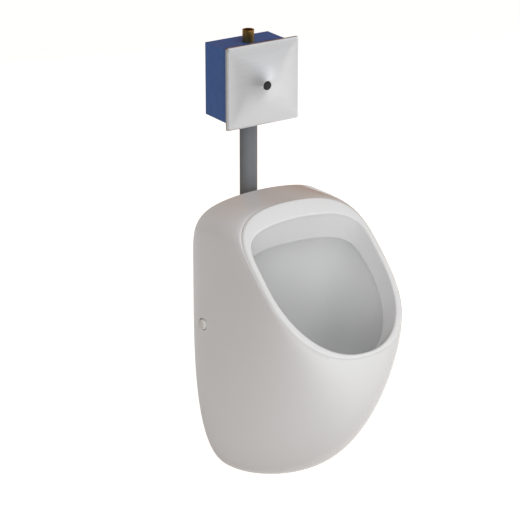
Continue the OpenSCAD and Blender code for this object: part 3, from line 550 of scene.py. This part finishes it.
def basin_rings(angle, tilt, steps_between):
    """The basin from the opening's inner wall down to the drain.

    Each ring is an outline in the plane through a point at its back and a point at its front. The
    rings begin nearly square at the back and end as the drain's circle: their exponents fall with
    the square of the way down. A station holds Y and Z of both points and half the ring's width.
    """
    back = BASIN_BACK
    front_y, front_z = in_mouth(0, OPENING.middle - OPENING.drop, WALL_DEPTH, tilt)[1:]
    hood = OPENING.middle + OPENING.top + OPENING.crown - HOOD_LEAN
    hood_y, hood_z = in_mouth(0, hood, WALL_DEPTH, tilt)[1:]
    stations = np.array([
        [hood_y + 7, hood_z + 3, front_y - 4, front_z - 1, 123.5],
        [hood_y + 13, hood_z + 24, front_y - 7, front_z - 6, 126.5],
        [hood_y + 20, hood_z + 38, front_y - 8, front_z - 10, 126.5],
        [back - 8, hood_z + 40, front_y - 8, front_z - 14, 126.5],
        [back, hood_z + 31, front_y - 7, front_z - 21, 126.5],
        [back, 122, front_y - 3, front_z - 44, 125.5],
        [back, 66, front_y + 6, -88, 123.5],
        [back, 10, front_y + 19, -112, 118.5],
        [back - 1, -45, front_y + 36, -132, 110.5],
        [back - 4, -92, front_y + 58, -148, 98.5],
        [back - 11, -128, front_y + 84, -160, 82.5],
        [back - 22, -154, front_y + 110, -169, 60.5],
        [back - 33, -169, DRAIN_Y - 38, -172, 40],
        [DRAIN_Y + 33, BASIN_FLOOR, DRAIN_Y - 33, BASIN_FLOOR, 33],
    ])
    places = np.linspace(0, len(stations) - 1, (len(stations) - 1) * steps_between + 1)
    back_y, back_z, fore_y, fore_z, width = eased(stations, places).T[:, :, None]
    down = (places / (len(stations) - 1))[:, None] ** 2
    shape = Outline(
        half_width=1, middle=0, top=1, top_power=4.6 - 2.6 * down, crown=0,
        drop=1, drop_power=2.3 - 0.3 * down,
    )
    x, along = outline(angle, shape)
    return np.stack(
        [
            width * x,
            (back_y + fore_y) / 2 + (back_y - fore_y) / 2 * along,
            (back_z + fore_z) / 2 + (back_z - fore_z) / 2 * along,
        ],
        axis=-1,
    )


def china_rings(sizes):
    """All the rings of the bowl's skin: wall edge, outside, rim, opening, inner wall and basin.

    The rim's and the opening's edges are quarter circles. The inner wall is straight and leans in
    by its draft. Its depth sinks towards the sides with the squared cosine of the angle.
    """
    angle = np.linspace(0, 2 * np.pi, sizes.ring_points, endpoint=False)
    tilt = sizes.mouth_tilt
    rim_round, lip_round = sizes.rim_round / MM, sizes.lip_round / MM
    edge_round, draft = sizes.edge_round / MM, sizes.wall_draft / MM
    near_end = 0.03
    near_wall = np.linspace(0, 1, 7)[:-1] ** 2 * near_end
    places = np.concatenate([near_wall, np.linspace(near_end, 1, 44)])
    outside = outer_skin(angle, places, tilt, rim_round, edge_round)
    quarter = np.linspace(0, np.pi / 2, 9)
    rim = [
        rim_edge(angle, rim_round * (1 - math.cos(u)), rim_round * (1 - math.sin(u)), tilt)
        for u in quarter[1:]
    ]
    lip = [
        opening_edge(angle, lip_round * (1 - math.sin(u)), lip_round * (1 - math.cos(u)), 0, tilt)
        for u in quarter
    ]
    wall_depth = WALL_DEPTH - (WALL_DEPTH - WALL_DEPTH_AT_SIDES) * np.cos(angle) ** 2
    wall = [
        opening_edge(
            angle, -draft * f, lip_round + (wall_depth - lip_round) * f,
            (HOOD_LEAN - draft) * f, tilt,
        )
        for f in np.linspace(0, 1, 9)[1:]
    ]
    rings = np.concatenate([outside, rim, lip, wall, basin_rings(angle, tilt, 4)])
    return np.clip(rings, BOWL_LOW, BOWL_HIGH)


def rear_hollow(sizes):
    """Cutter for the hollow behind the basin.

    It follows the hollow's outline. Its mouth flares by a quarter circle, and its floor meets the
    sides in a cove.
    """
    angle = np.linspace(0, 2 * np.pi, sizes.ring_points, endpoint=False)
    flare, cove, depth, past_wall = sizes.edge_round / MM, 6, 45, 2
    quarter = np.linspace(0, np.pi / 2, 7)
    rows = [(past_wall, flare)]
    rows += [(-flare * (1 - math.cos(u)), flare * (1 - math.sin(u))) for u in quarter]
    rows += quarter_rows(-depth, 0, cove, -cove, 7)
    rings = []
    for y, outset in rows:
        x, z = outline(angle, HOLLOW, outset)
        rings.append(np.stack([x, np.full_like(x, y), z], axis=-1))
    return ring_body("hollow", np.array(rings))


def trap_pocket():
    """Cutter for the pocket under the basin: a side view carried across, with its edges rounded."""
    half_width, round_mm, least_turn = 48, 3, 12
    side_view = np.array([
        [-35, -85], [-45, -85], [-54, -120], [-79, -168], [-90, -186], [-180, -186],
        [-187, -228], [-147, -258], [-100, -280], [-66, -292], [-35, -296],
    ])
    ends = (-half_width, half_width)
    rings = [np.column_stack([np.full(len(side_view), x), side_view]) for x in ends]
    pocket = ring_body("pocket", np.array(rings))
    rounding = pocket.modifiers.new("rounding", "BEVEL")
    rounding.width, rounding.segments = round_mm * MM, 4
    rounding.limit_method, rounding.angle_limit = "ANGLE", math.radians(least_turn)
    return applied(pocket)


def side_recess(side, sizes):
    """Cutter for the round recess of a cover cap.

    A turned shape: its radius is constant up the side, closes in a small cove at the floor, and
    opens by a quarter circle at the china's face, which gives the soft lip.
    """
    lip, cove, radius = sizes.recess_lip / MM, 1.2, 11.5
    floor, face = BOWL_HIGH[0] - 7.8, BOWL_HIGH[0] - 0.6
    quarter = np.linspace(0, np.pi / 2, 9)[::-1]
    rows = quarter_rows(floor, radius, cove, -cove, 9)[::-1]
    rows += [(face - lip * math.cos(u), radius + lip * (1 - math.sin(u))) for u in quarter]
    rows += [(BEYOND_SIDE, radius + lip)]
    rows = [(side * place, reach) for place, reach in rows]
    return ring_body("recess", turned_rings(rows, 0, CAP_PLACE, points=128))


def plain_hole(name, radius, axis, ends, centre):
    """Cutter for a drilled hole."""
    return ring_body(name, turned_rings([(ends[0], radius), (ends[1], radius)], axis, centre))


class URINAL_OT_bowl(bpy.types.Operator):
    """Glazed bowl: one skin from the wall over the rim into the basin, with hollows and holes"""

    bl_idname = "urinal.bowl"
    bl_label = "Bowl"

    def execute(self, context):
        sizes, colours = context.scene.urinal_sizes, context.scene.urinal_colours
        bowl = ring_body("bowl_skin", china_rings(sizes))
        # Slot 0 holds the glaze, and slot 1 the bare china that the two rear cutters leave.
        bowl.data.materials.append(None)
        bowl.data.materials.append(None)
        cut(bowl, [rear_hollow(sizes), trap_pocket()], skin=1)
        across = (-BEYOND_SIDE, BEYOND_SIDE)
        through_floor = (BASIN_FLOOR - 15, BASIN_FLOOR + 5)
        through_back = (BASIN_BACK - 5, BASIN_BACK + 15)
        cut(bowl, [
            side_recess(-1, sizes),
            side_recess(1, sizes),
            plain_hole("sleeve_hole", SLEEVE_HOLE_R, 0, across, CAP_PLACE),
            plain_hole("drain_hole", DRAIN_HOLE_R, 2, through_floor, (0, DRAIN_Y, 0)),
            plain_hole("inlet_hole", INLET_HOLE_R, 1, through_back, (0, 0, INLET_Z)),
        ])
        finish_piece(
            smooth(bowl), "bowl_china", "urinal", ["bowl"],
            [glazed_china(colours), bisque_china(colours)],
        )
        return {"FINISHED"}


# ---------- caps ----------


def cap_rings(side, sizes):
    """A cover cap as a turned shape: straight side, a rolled edge and a shallow dome over the face.

    The dome sinks with the square of the way out to the roll.
    """
    radius, roll, dome = (CAP_HIGH[2] - CAP_LOW[2]) / 2, sizes.cap_roll / MM, 0.6
    skin, foot, chamfer, tip = 0.02, 1.4, 0.3, 0.15
    base, face = CAP_LOW[0] + skin, CAP_HIGH[0] - skin
    shoulder, inner = face - dome, radius - roll
    rows = [(base, radius - foot), (base, radius - chamfer), (base + chamfer, radius)]
    rows += quarter_rows(shoulder, radius, -roll, -roll, 10)
    rows += [
        (shoulder + dome * (1 - (r / inner) ** 2), r) for r in np.linspace(inner, tip, 12)[1:]
    ]
    rows = [(side * place, reach) for place, reach in rows]
    return turned_rings(rows, 0, CAP_PLACE)


class URINAL_OT_caps(bpy.types.Operator):
    """Domed cover caps over the two side screws"""

    bl_idname = "urinal.caps"
    bl_label = "Cover caps"

    def execute(self, context):
        sizes, colours = context.scene.urinal_sizes, context.scene.urinal_colours
        plastic = moulded_cap(colours)
        bore_radius, bore_depth = 6.66, 4.2
        bore_ends = np.array([CAP_LOW[0] - 1, CAP_LOW[0] + bore_depth])
        for side, node in ((-1, "cap_left"), (1, "cap_right")):
            cap = ring_body(node, cap_rings(side, sizes))
            bore = plain_hole("cap_bore", bore_radius, 0, sorted(side * bore_ends), CAP_PLACE)
            cut(cap, [bore])
            finish_piece(smooth(cap), node + "_dome", node, [node], [plastic])
        return {"FINISHED"}


# ---------- flush plate and sensor ----------

PLATE_LOW, PLATE_HIGH = corners("flush_plate")
PLATE_Z = (PLATE_LOW[2] + PLATE_HIGH[2]) / 2
SENSOR_PLACE = (0, 0, PLATE_Z)


def square_rings(half, power, y, points):
    """Rings of a square with rounded corners: superellipses of half width, exponent and place in Y.

    The points crowd towards the corners, where the line turns: each angle moves by a sine of four
    times itself.
    """
    crowding = 0.235
    even = np.linspace(0, 2 * np.pi, points, endpoint=False)
    angle = even - crowding * np.sin(4 * (even - np.pi / 4))
    half, power, y = (np.asarray(v, float)[:, None] for v in (half, power, y))
    square = Outline(
        half_width=half, middle=0, top=half, top_power=power, crown=0, drop=half, drop_power=power
    )
    x, z = outline(angle, square)
    return np.stack([x, y + 0 * x, PLATE_Z + z], axis=-1)


def plate_rings(sizes):
    """The pressed plate: wall edge, side, rolled bevel, face rising to the sensor, and its back.

    The face lies at the edge's depth plus a rise that grows towards the centre with the power 1.7
    of the way in. Its level lines are square at the edge and soon turn round on the way in: their
    exponent falls with the fifth power of the way. A row holds half width, exponent and place in Y.
    """
    half, bevel = PLATE_HIGH[0], sizes.plate_bevel / MM
    hole, edge, sheet, roll, bevel_drop, wall_gap = 10.0, 8.0, 1.2, 0.35, 1.6, 2
    rise = -PLATE_LOW[1] - edge
    way = np.linspace(1, 0, 40)
    face_half = hole + (half - bevel - hole) * way
    face_y = -edge - rise * (1 - way) ** 1.7
    face_power = 2 + 58 * way**5
    rows = [(half, 90, -wall_gap), (half, 90, -edge + bevel_drop + roll)]
    rows += [(half - 0.1, 88, -edge + bevel_drop + 0.05), (half - 0.4, 86, -edge + 1.35)]
    rows += [(half - bevel + 0.5, 64, -edge + 0.3), (half - bevel + 0.15, 62, -edge + 0.08)]
    outer = np.array(rows)
    face = np.column_stack([face_half, face_power, face_y])
    back = face[::-1] + [0, 0, sheet]
    inner = np.array([
        (half - sheet - 0.4, 86, -edge + sheet + 0.2),
        (half - sheet, 88, -edge + sheet + 0.6),
        (half - sheet, 88, -wall_gap),
    ])
    rows = np.concatenate([outer, face, back, inner])
    return square_rings(rows[:, 0], rows[:, 1], rows[:, 2], sizes.plate_points)


class URINAL_OT_flush_plate(bpy.types.Operator):
    """Square flush plate, pressed from satin steel, with a bevelled edge"""

    bl_idname = "urinal.flush_plate"
    bl_label = "Flush plate"

    def execute(self, context):
        sizes, colours = context.scene.urinal_sizes, context.scene.urinal_colours
        plate = ring_loop("plate", plate_rings(sizes))
        low, key_radius, key_y = PLATE_LOW[2], 1.9, -4.2
        cut(plate, [plain_hole("key_hole", key_radius, 2, (low - 1, low + 3), (0, key_y, 0))])
        finish_piece(
            smooth(plate, sharp_degrees=40), "flush_plate_pressing", "plate",
            ["flush_plate"], [satin_stainless(colours)],
        )
        return {"FINISHED"}


def bezel_rings():
    """The bright ring round the sensor, a turned loop: rolled outer edge, flat top, inner cone."""
    low, high = corners("sensor_bezel")
    outer, front, back = (high[0] - low[0]) / 2, low[1], high[1]
    bore, roll, chamfer = 8.0, 0.7, 0.2
    rows = [(back, bore), (back, outer - chamfer), (back - chamfer, outer)]
    rows += quarter_rows(front, outer, roll, -roll, 7)
    rows += [(front, bore + 0.6), (front + 0.1, bore + 0.3), (front + 0.8, bore + 0.02)]
    return turned_rings(rows, 1, SENSOR_PLACE)


def window_rings():
    """The sensor's window as a turned body: a rod with a rolled edge and a very shallow dome.

    The dome sinks with the square of the way out to the roll.
    """
    low, high = corners("sensor_window")
    radius, front, back = (high[0] - low[0]) / 2, low[1], high[1]
    dome, roll, chamfer, tip = 0.25, 0.6, 0.3, 0.12
    inner = radius - roll
    rows = [(back, radius - chamfer), (back - chamfer, radius)]
    rows += quarter_rows(front + dome, radius, roll, -roll, 8)
    rows += [(front + dome * (r / inner) ** 2, r) for r in np.linspace(inner, tip, 10)[1:]]
    return turned_rings(rows, 1, SENSOR_PLACE)


def window_acrylic(colours):
    """Infra-red acrylic, polished: looks black and wet, with a deep red-brown cast."""
    return grained(
        "acrylic_black_infrared", colours.window, "#120C0C", 6.0, (0.06, 0.1), 0.002, IOR=1.49
    )


class URINAL_OT_sensor(bpy.types.Operator):
    """Sensor eye: the bright ring and the black window inside it"""

    bl_idname = "urinal.sensor"
    bl_label = "Sensor eye"

    def execute(self, context):
        colours = context.scene.urinal_colours
        ring = smooth(ring_loop("ring", bezel_rings()))
        finish_piece(
            ring, "sensor_bright_ring", "plate", ["sensor_bezel"], [finish_for("chrome")]
        )
        window = smooth(ring_body("window", window_rings()))
        finish_piece(
            window, "sensor_eye_window", "urinal", ["sensor_window"],
            [window_acrylic(colours)],
        )
        return {"FINISHED"}


# ---------- plunger spring ----------


def spring_rings(turns, wire):
    """A coil spring along X as rings round its wire, whose thickness is twice the radius wire.

    The wire's middle runs on a helix just inside the CAD spring's box: angle a goes round at a
    constant radius while X grows in step with a.
    """
    low, high = corners("plunger_spring")
    middle, radius = (low + high) / 2, (high[1] - low[1]) / 2 - wire
    turn_rings, wire_points = 24, 8
    angle = np.linspace(0, 2 * np.pi * turns, turn_rings * turns + 1)[:, None]
    around = np.linspace(0, 2 * np.pi, wire_points, endpoint=False)[None, :]
    reach = radius + wire * np.cos(around)
    start, length = low[0] + wire, high[0] - low[0] - 2 * wire
    along = start + length * angle / angle[-1] + wire * np.sin(around)
    return np.stack(
        [along, middle[1] + reach * np.cos(angle), middle[2] + reach * np.sin(angle)], axis=-1
    )


class URINAL_OT_plunger_spring(bpy.types.Operator):
    """Coil spring behind the valve's plunger, built at one length; the real spring shortens as the
    plunger is drawn in
    """

    bl_idname = "urinal.plunger_spring"
    bl_label = "Plunger spring"

    def execute(self, context):
        spring = smooth(ring_body("spring", spring_rings(turns=5, wire=0.45)))
        finish_piece(
            spring, "plunger_spring_coil", "urinal", ["plunger_spring"],
            [finish_for("stainless")],
        )
        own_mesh(spring)
        return {"FINISHED"}


# ---------- fittings that keep their CAD shape ----------


class URINAL_OT_metal_fittings(bpy.types.Operator):
    """Finishes of the steel, chrome and brass fittings"""

    bl_idname = "urinal.metal_fittings"
    bl_label = "Metal fittings"

    def execute(self, context):
        dress("zinc_steel", "stainless", "chrome", "brass")
        return {"FINISHED"}


class URINAL_OT_plastic_fittings(bpy.types.Operator):
    """Finishes of the moulded and extruded plastic parts"""

    bl_idname = "urinal.plastic_fittings"
    bl_label = "Plastic fittings"

    def execute(self, context):
        dress("white_plastic", "black_plastic", "grey_plastic", "blue_plastic")
        return {"FINISHED"}


class URINAL_OT_seals_and_cells(bpy.types.Operator):
    """Finishes of the rubber seals, the ball seats and the batteries' sleeves"""

    bl_idname = "urinal.seals_and_cells"
    bl_label = "Seals and cells"

    def execute(self, context):
        dress("seal_rubber", "seat_polymer", "cell_wrap")
        return {"FINISHED"}


# ---------- stage ----------

# Where the soft boxes stand, which point they face and how wide they are, in metres.
LAMPS = {
    "left": (-2.3, -3.4, 0.1),
    "right": (2.8, -3.0, 0.6),
    "front": (-0.3, -3.6, 2.0),
    "top": (0.2, -2.4, 3.4),
    "back": (0.6, 3.2, 1.2),
}
LAMP_AIM = (0.0, -0.15, 0.08)
LAMP_SIZE = 2.4


def aimed(name, data, place, way):
    """A lamp or camera at a place, looking along a way."""
    made = placed(name, data)
    made.location, made.rotation_euler = place, way.to_track_quat("-Z", "Y").to_euler()
    return made


def soft_lamp(name, power, colour):
    """A square soft box that lights the object but is left out of its reflections."""
    lamp = bpy.data.lights.new(name, "AREA")
    lamp.shape, lamp.size, lamp.energy, lamp.color = "SQUARE", LAMP_SIZE, power, colour
    way = Vector(LAMP_AIM) - Vector(LAMPS[name])
    aimed(name, lamp, LAMPS[name], way).visible_glossy = False


def gloss_level(tree, stage, across):
    """How bright the room is in a reflection: dim at the left, and brighter towards the right."""
    return add_node(
        tree, "MapRange",
        {"From Min": -0.1, "From Max": 0.85, "To Min": stage.left_dim, "To Max": stage.right_glow},
        {"Value": across.outputs["X"]},
    )


def studio_world(stage):
    """Light from a white room with a shaded brown back.

    It brightens towards the right: a little for diffuse light, and more for gloss and glass. The
    lens sees plain white.
    """
    white = (*linear("#FFFFFF"), 1.0)
    left_level, right_level = 0.95 * stage.ambient, 1.05 * stage.ambient
    world = bpy.data.worlds.new("studio")
    bpy.context.scene.world = world
    world.use_nodes = True
    tree = world.node_tree
    tree.nodes.clear()
    path = add_node(tree, "LightPath")
    way = add_node(tree, "TexCoord")
    axis = add_node(tree, "SeparateXYZ", links={"Vector": way.outputs["Generated"]})
    across = gloss_level(tree, stage, axis)
    even = add_node(
        tree, "MapRange",
        {"From Min": -1.0, "From Max": 1.0, "To Min": left_level, "To Max": right_level},
        {"Value": axis.outputs["X"]},
    )
    behind = add_node(
        tree, "MapRange", {"From Min": -0.3, "From Max": 0.4}, {"Value": axis.outputs["Y"]}
    )
    room = add_node(
        tree, "Mix", {6: white, 7: (*stage.room_back, 1.0)},
        {0: behind.outputs["Result"]}, data_type="RGBA",
    )
    seen = add_node(
        tree, "Mix", {7: white},
        {0: path.outputs["Is Camera Ray"], 6: room.outputs[2]}, data_type="RGBA",
    )
    mirrored = add_node(
        tree, "Math",
        links={0: path.outputs["Is Glossy Ray"], 1: path.outputs["Is Transmission Ray"]},
        operation="MAXIMUM",
    )
    reflected = add_node(
        tree, "Mix",
        links={0: mirrored.outputs[0], 2: even.outputs["Result"], 3: across.outputs["Result"]},
        data_type="FLOAT",
    )
    level = add_node(
        tree, "Mix", {3: 1.0},
        {0: path.outputs["Is Camera Ray"], 2: reflected.outputs[0]}, data_type="FLOAT",
    )
    glow = add_node(
        tree, "Background", links={"Color": seen.outputs[2], "Strength": level.outputs[0]}
    )
    add_node(tree, "OutputWorld", links={"Surface": glow.outputs["Background"]})


def pale_floor(stage):
    """A wide level floor of pale seamless paper, under the object by the height that it hangs at.

    The lens sees it fade to white with the distance, so that it has no horizon, and gloss sees it
    brighten towards the right like the rest of the room.
    """
    reach, level, far_lift = 30.0, -stage.floor_drop, 1.4
    x = np.array([-reach, reach, reach, -reach])
    points = np.stack([x, np.roll(x, 1), np.full(4, level)], axis=-1)
    mesh = bpy.data.meshes.new("floor")
    mesh.from_pydata(points.tolist(), [], [[0, 1, 2, 3]])
    floor = placed("floor", mesh)
    material, tree, shader, place = new_surface("paper_seamless_pale", {"Roughness": 0.9})
    shader.inputs["Base Color"].default_value = (*stage.floor, 1.0)
    path = add_node(tree, "LightPath")
    far = add_node(tree, "VectorMath", links={0: place}, operation="LENGTH")
    fade = add_node(
        tree, "MapRange",
        {"From Min": 0.8, "From Max": 5.0, "To Min": stage.floor_lift, "To Max": far_lift},
        {"Value": far.outputs["Value"]},
    )
    toward = add_node(tree, "VectorMath", links={0: place}, operation="NORMALIZE")
    across = add_node(tree, "SeparateXYZ", links={"Vector": toward.outputs["Vector"]})
    gleam = gloss_level(tree, stage, across)
    mirrored = add_node(
        tree, "Math", {1: stage.floor_gleam}, {0: path.outputs["Is Glossy Ray"]},
        operation="MULTIPLY",
    )
    glossy = add_node(
        tree, "Math", links={0: mirrored.outputs[0], 1: gleam.outputs["Result"]},
        operation="MULTIPLY",
    )
    lit = add_node(
        tree, "Math",
        links={0: path.outputs["Is Camera Ray"], 1: fade.outputs["Result"], 2: glossy.outputs[0]},
        operation="MULTIPLY_ADD",
    )
    shader.inputs["Emission Color"].default_value = (*stage.floor, 1.0)
    tree.links.new(lit.outputs[0], shader.inputs["Emission Strength"])
    mesh.materials.append(material)


def photo_camera(stage):
    """The camera, looking along the photograph's line of sight."""
    camera = bpy.data.cameras.new("camera")
    camera.sensor_width, camera.lens = 36.0, stage.lens
    camera.clip_start, camera.clip_end = 0.1, 60.0
    round_z, above = stage.camera_round, stage.camera_above
    look = Vector((
        -math.sin(round_z) * math.cos(above), math.cos(round_z) * math.cos(above), -math.sin(above)
    ))
    bpy.context.scene.camera = aimed("camera", camera, stage.camera_place, look)


class URINAL_OT_stage(bpy.types.Operator):
    """Floor, world, soft lamps and the camera at the photograph's viewing angle"""

    bl_idname = "urinal.stage"
    bl_label = "Stage"

    def execute(self, context):
        stage = context.scene.urinal_stage
        pale_floor(stage)
        studio_world(stage)
        for name in LAMPS:
            colour = stage.back_tint if name == "back" else (1.0, 1.0, 1.0)
            soft_lamp(name, getattr(stage, name + "_power"), colour)
        photo_camera(stage)
        context.scene.view_settings.view_transform = "Standard"
        return {"FINISHED"}


# ---------- settings, panel and run ----------

# What every colour setting shares.
COLOUR = {"subtype": "COLOR", "size": 3, "min": 0, "max": 1}


class UrinalSizes(bpy.types.PropertyGroup):
    """Sizes of the shapes that the CAD model leaves to the finished surface"""

    mouth_tilt: FloatProperty(
        name="Mouth tilt", description="Tilt of the mouth's plane from level",
        default=math.radians(41.1), subtype="ANGLE",
    )
    rim_round: FloatProperty(
        name="Rim round", description="Radius of the rim's outer edge",
        default=4.75 * MM, unit="LENGTH",
    )
    lip_round: FloatProperty(
        name="Lip round", description="Radius of the opening's edge",
        default=3.0 * MM, unit="LENGTH",
    )
    wall_draft: FloatProperty(
        name="Inner wall draft", description="How far the inner wall leans in over its depth",
        default=5.0 * MM, unit="LENGTH",
    )
    edge_round: FloatProperty(
        name="Wall edge round", description="Radius of the china's edge on the wall",
        default=1.6 * MM, unit="LENGTH",
    )
    recess_lip: FloatProperty(
        name="Recess lip", description="Radius of the soft lip round a cap's recess",
        default=2.0 * MM, unit="LENGTH",
    )
    cap_roll: FloatProperty(
        name="Cap roll", description="Radius of a cap's edge", default=1.2 * MM, unit="LENGTH"
    )
    plate_bevel: FloatProperty(
        name="Plate bevel", description="Width of the bevel round the flush plate",
        default=2.5 * MM, unit="LENGTH",
    )
    ring_points: IntProperty(
        name="China points", description="Points in each ring of the china", default=320, min=64
    )
    plate_points: IntProperty(
        name="Plate points", description="Points in each ring of the flush plate",
        default=384, min=64,
    )


class UrinalColours(bpy.types.PropertyGroup):
    """Colours of the pieces that show most"""

    glaze: FloatVectorProperty(
        name="Glaze", description="White of the glazed china", default=linear("#EBECED"), **COLOUR
    )
    bisque: FloatVectorProperty(
        name="Bisque", description="Bare fired china at the back",
        default=linear("#DDD5C6"), **COLOUR,
    )
    cap: FloatVectorProperty(
        name="Caps", description="White of the cover caps", default=linear("#EBEAE6"), **COLOUR
    )
    plate: FloatVectorProperty(
        name="Flush plate", description="Satin steel of the flush plate",
        default=linear("#E2E4E7"), **COLOUR,
    )
    window: FloatVectorProperty(
        name="Window", description="Black of the sensor window", default=linear("#0A0A0B"), **COLOUR
    )


class UrinalStage(bpy.types.PropertyGroup):
    """Floor, light and camera"""

    floor: FloatVectorProperty(
        name="Floor", description="Colour of the floor", default=linear("#CACAC9"), **COLOUR
    )
    floor_lift: FloatProperty(
        name="Floor lift", description="Glow that the lens sees in the floor", default=1.25, min=0
    )
    floor_gleam: FloatProperty(
        name="Floor gleam", description="Glow that gloss sees in the floor", default=0.92, min=0
    )
    floor_drop: FloatProperty(
        name="Floor drop", description="Height of the origin above the floor", default=0.64,
        unit="LENGTH",
    )
    ambient: FloatProperty(
        name="Ambient", description="Even light on the object", default=0.46, min=0
    )
    left_dim: FloatProperty(
        name="Left of the room", description="Brightness of the room's left in reflections",
        default=0.2, min=0,
    )
    right_glow: FloatProperty(
        name="Right of the room", description="Brightness of the room's right in reflections",
        default=1.25, min=0,
    )
    room_back: FloatVectorProperty(
        name="Back of the room", description="Colour of the room's shaded back",
        default=linear("#8F6644"), **COLOUR,
    )
    back_tint: FloatVectorProperty(
        name="Back tint", description="Colour of the lamp behind",
        default=linear("#FFE3CC"), **COLOUR,
    )
    left_power: FloatProperty(
        name="Left lamp", description="Lamp low at the left", default=67.0, unit="POWER"
    )
    right_power: FloatProperty(
        name="Right lamp", description="Lamp low at the right", default=15.0, unit="POWER"
    )
    front_power: FloatProperty(
        name="Front lamp", description="Lamp high in front", default=18.0, unit="POWER"
    )
    top_power: FloatProperty(name="Top lamp", description="Lamp above", default=26.0, unit="POWER")
    back_power: FloatProperty(
        name="Back lamp", description="Lamp behind", default=44.0, unit="POWER"
    )
    lens: FloatProperty(name="Lens", description="Focal length", default=173.21, unit="CAMERA")
    camera_place: FloatVectorProperty(
        name="Camera place", description="Where the camera stands",
        default=(-2.3304, -3.5249, 1.6813), subtype="TRANSLATION", size=3,
    )
    camera_round: FloatProperty(
        name="Camera round", description="Camera's turn about the upright from straight in front",
        default=math.radians(-33.45), subtype="ANGLE",
    )
    camera_above: FloatProperty(
        name="Camera above", description="How far the camera looks down",
        default=math.radians(20.70), subtype="ANGLE",
    )


STEPS = (
    URINAL_OT_bowl, URINAL_OT_caps, URINAL_OT_flush_plate, URINAL_OT_sensor,
    URINAL_OT_plunger_spring, URINAL_OT_metal_fittings, URINAL_OT_plastic_fittings,
    URINAL_OT_seals_and_cells, URINAL_OT_stage,
)

# The groups of settings, by the names that they have in the scene.
GROUPS = {
    "urinal_sizes": UrinalSizes, "urinal_colours": UrinalColours, "urinal_stage": UrinalStage,
}


class URINAL_PT_sidebar(bpy.types.Panel):
    """The urinal's settings and its building steps"""

    bl_idname = "URINAL_PT_sidebar"
    bl_label = "Urinal"
    bl_space_type = "VIEW_3D"
    bl_region_type = "UI"
    bl_category = "Urinal"

    def draw(self, context):
        for name, kind in GROUPS.items():
            box = self.layout.box()
            for setting in kind.__annotations__:
                box.prop(getattr(context.scene, name), setting)
        for step in STEPS:
            self.layout.operator(step.bl_idname)


CLASSES = (*GROUPS.values(), *STEPS, URINAL_PT_sidebar)


def register():
    for cls in CLASSES:
        bpy.utils.register_class(cls)
    for name, kind in GROUPS.items():
        setattr(bpy.types.Scene, name, PointerProperty(type=kind))


def unregister():
    for name in GROUPS:
        delattr(bpy.types.Scene, name)
    for cls in reversed(CLASSES):
        bpy.utils.unregister_class(cls)


def main():
    """Builds every piece and the stage."""
    register()
    for step in STEPS:
        group, action = step.bl_idname.split(".")
        getattr(getattr(bpy.ops, group), action)()


if __name__ == "__main__":
    main()
